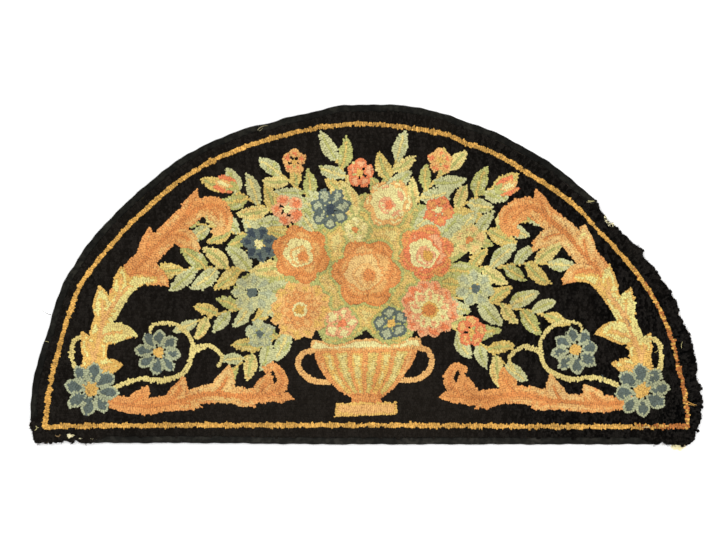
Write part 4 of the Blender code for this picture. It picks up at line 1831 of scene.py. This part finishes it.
# The lamps' side, power in watts and places, and the strength of the light from all round
LAMP_SIZE = 2.4
WINDOW_LIGHT, WINDOW_PLACE = 85, (-1.9, 2.3, 2.6)
FILL_LIGHT, FILL_PLACE = 55, (2.4, -1.6, 2.6)
ROOM_LIGHT = 0.864


def lay_floor():
    """A pale floor just under the rug."""
    bpy.ops.mesh.primitive_plane_add(size=FLOOR_SIZE, location=(0, 0, -FLOOR_DROP))
    floor = bpy.context.object
    floor.name = "floor"
    floor.data.materials.append(floor_material())


def add_light(name, place, power):
    """A large square lamp that looks at the middle of the rug."""
    bpy.ops.object.light_add(type="AREA", location=place)
    lamp = bpy.context.object
    lamp.name = name
    lamp.data.size = LAMP_SIZE
    lamp.data.energy = power
    lamp.rotation_euler = Vector(place).to_track_quat("Z", "Y").to_euler()


def light_room():
    """White light from all round."""
    world = bpy.data.worlds.new("studio")
    world.use_nodes = True
    background = world.node_tree.nodes["Background"]
    background.inputs["Color"].default_value = (1, 1, 1, 1)
    background.inputs["Strength"].default_value = ROOM_LIGHT
    bpy.context.scene.world = world
    bpy.context.scene.view_settings.view_transform = "Standard"


def hang_camera():
    """A camera straight above, as high as the photo's width asks for."""
    bpy.ops.object.camera_add(location=(*PHOTO_MIDDLE, 0), rotation=(0, 0, 0))
    camera = bpy.context.object
    camera.name = "camera_above"
    camera.data.lens = LENS
    camera.data.sensor_width = SENSOR_WIDTH
    camera.data.clip_end = 100
    camera.location.z = PHOTO_WIDTH * METRES_A_PIXEL * LENS / SENSOR_WIDTH + BINDING_TOP
    bpy.context.scene.camera = camera


# Operators


class RUG_OT_lay_burlap(bpy.types.Operator):
    """Lay the burlap foundation, with bare patches where loops have worn away"""

    bl_idname = "rug.lay_burlap"
    bl_label = "Lay the burlap"

    def execute(self, context):
        WORK["burlap"] = lay_burlap()
        lay_worn_patches()
        return {"FINISHED"}


class RUG_OT_draw_pattern(bpy.types.Operator):
    """Draw the flowers and leaf sprays and set a loop at every place of every row"""

    bl_idname = "rug.draw_pattern"
    bl_label = "Draw the pattern"

    def execute(self, context):
        set_loops(context.scene.rug_sizes)
        WORK["loop"] = model_loop()
        return {"FINISHED"}


class RUG_OT_hook_ground(bpy.types.Operator):
    """Hook the black ground in level rows"""

    bl_idname = "rug.hook_ground"
    bl_label = "Hook the ground"

    def execute(self, context):
        WORK["pile"] = [
            hook_piece("ground_left", "ground", left_half),
            hook_piece("ground_right", "ground", right_half),
        ]
        return {"FINISHED"}


class RUG_OT_hook_border(bpy.types.Operator):
    """Hook the gold line and the black border outside it"""

    bl_idname = "rug.hook_border"
    bl_label = "Hook the border"

    def execute(self, context):
        WORK["pile"] += [hook_piece(piece + "_loops", piece) for piece in ("border", "gold_line")]
        return {"FINISHED"}


class RUG_OT_hook_scrolls(bpy.types.Operator):
    """Hook the leaf sprays and the blue flowers beside them and in the corners"""

    bl_idname = "rug.hook_scrolls"
    bl_label = "Hook the leaf sprays"

    def execute(self, context):
        WORK["pile"] += [
            hook_piece("scrolls_left", "scrolls", left_half),
            hook_piece("scrolls_right", "scrolls", right_half),
            hook_piece("corner_flowers_loops", "corner_flowers"),
        ]
        return {"FINISHED"}


class RUG_OT_hook_bouquet(bpy.types.Operator):
    """Hook the urn and its bouquet"""

    bl_idname = "rug.hook_bouquet"
    bl_label = "Hook the bouquet"

    def execute(self, context):
        for piece in ("urn", "leaves", "blossoms", "roses"):
            WORK["pile"].append(hook_piece(piece + "_loops", piece))
        return {"FINISHED"}


class RUG_OT_bind_edge(bpy.types.Operator):
    """Fold the cloth bindings over the edge and stitch them down"""

    bl_idname = "rug.bind_edge"
    bl_label = "Bind the edge"

    def execute(self, context):
        random = np.random.default_rng(SEED + 1)
        twill = binding_material("binding_twill", *TWILL)
        worn = binding_material("worn_binding_twill", *WORN_TWILL)
        paths = [
            bind_edge("binding_left", twill, random),
            bind_edge("binding_top", twill, random),
            bind_edge("binding_base", worn, random),
        ]
        stitch_bindings(paths, random)
        shed_lint(paths, random)
        return {"FINISHED"}


class RUG_OT_fray_edge(bpy.types.Operator):
    """Fray the bare edge and pull out the loose ends"""

    bl_idname = "rug.fray_edge"
    bl_label = "Fray the edge"

    def execute(self, context):
        random = np.random.default_rng(SEED + 2)
        fray_bare_edge(random)
        fray_tuft(random)
        pull_loose_ends()
        return {"FINISHED"}


class RUG_OT_set_stage(bpy.types.Operator):
    """Set the pale floor, the soft light and the camera straight above"""

    bl_idname = "rug.set_stage"
    bl_label = "Set the stage"

    def execute(self, context):
        deselect_all()
        lay_floor()
        add_light("window_light", WINDOW_PLACE, WINDOW_LIGHT)
        add_light("fill_light", FILL_PLACE, FILL_LIGHT)
        light_room()
        hang_camera()
        return {"FINISHED"}


class RUG_PT_making(bpy.types.Panel):
    """The steps of making the rug, in order"""

    bl_label = "Hearth Rug"
    bl_idname = "RUG_PT_making"
    bl_space_type = "VIEW_3D"
    bl_region_type = "UI"
    bl_category = "Hearth Rug"

    def draw(self, context):
        column = self.layout.column()
        for name in RugSizes.__annotations__:
            column.prop(context.scene.rug_sizes, name)
        for name in WOOLS:
            column.prop(context.scene.rug_wools, name)
        for step in STEPS:
            column.operator(step.bl_idname)


STEPS = (
    RUG_OT_lay_burlap,
    RUG_OT_draw_pattern,
    RUG_OT_hook_ground,
    RUG_OT_hook_border,
    RUG_OT_hook_scrolls,
    RUG_OT_hook_bouquet,
    RUG_OT_bind_edge,
    RUG_OT_fray_edge,
    RUG_OT_set_stage,
)
CLASSES = (RugSizes, RugWools, *STEPS, RUG_PT_making)


def register():
    for made in CLASSES:
        bpy.utils.register_class(made)
    bpy.types.Scene.rug_sizes = PointerProperty(type=RugSizes)
    bpy.types.Scene.rug_wools = PointerProperty(type=RugWools)


def unregister():
    del bpy.types.Scene.rug_wools
    del bpy.types.Scene.rug_sizes
    for made in reversed(CLASSES):
        bpy.utils.unregister_class(made)


def main():
    register()
    bpy.ops.rug.lay_burlap()
    bpy.ops.rug.draw_pattern()
    bpy.ops.rug.hook_ground()
    bpy.ops.rug.hook_border()
    bpy.ops.rug.hook_scrolls()
    bpy.ops.rug.hook_bouquet()
    bpy.ops.rug.bind_edge()
    bpy.ops.rug.fray_edge()
    bpy.ops.rug.set_stage()


if __name__ == "__main__":
    main()
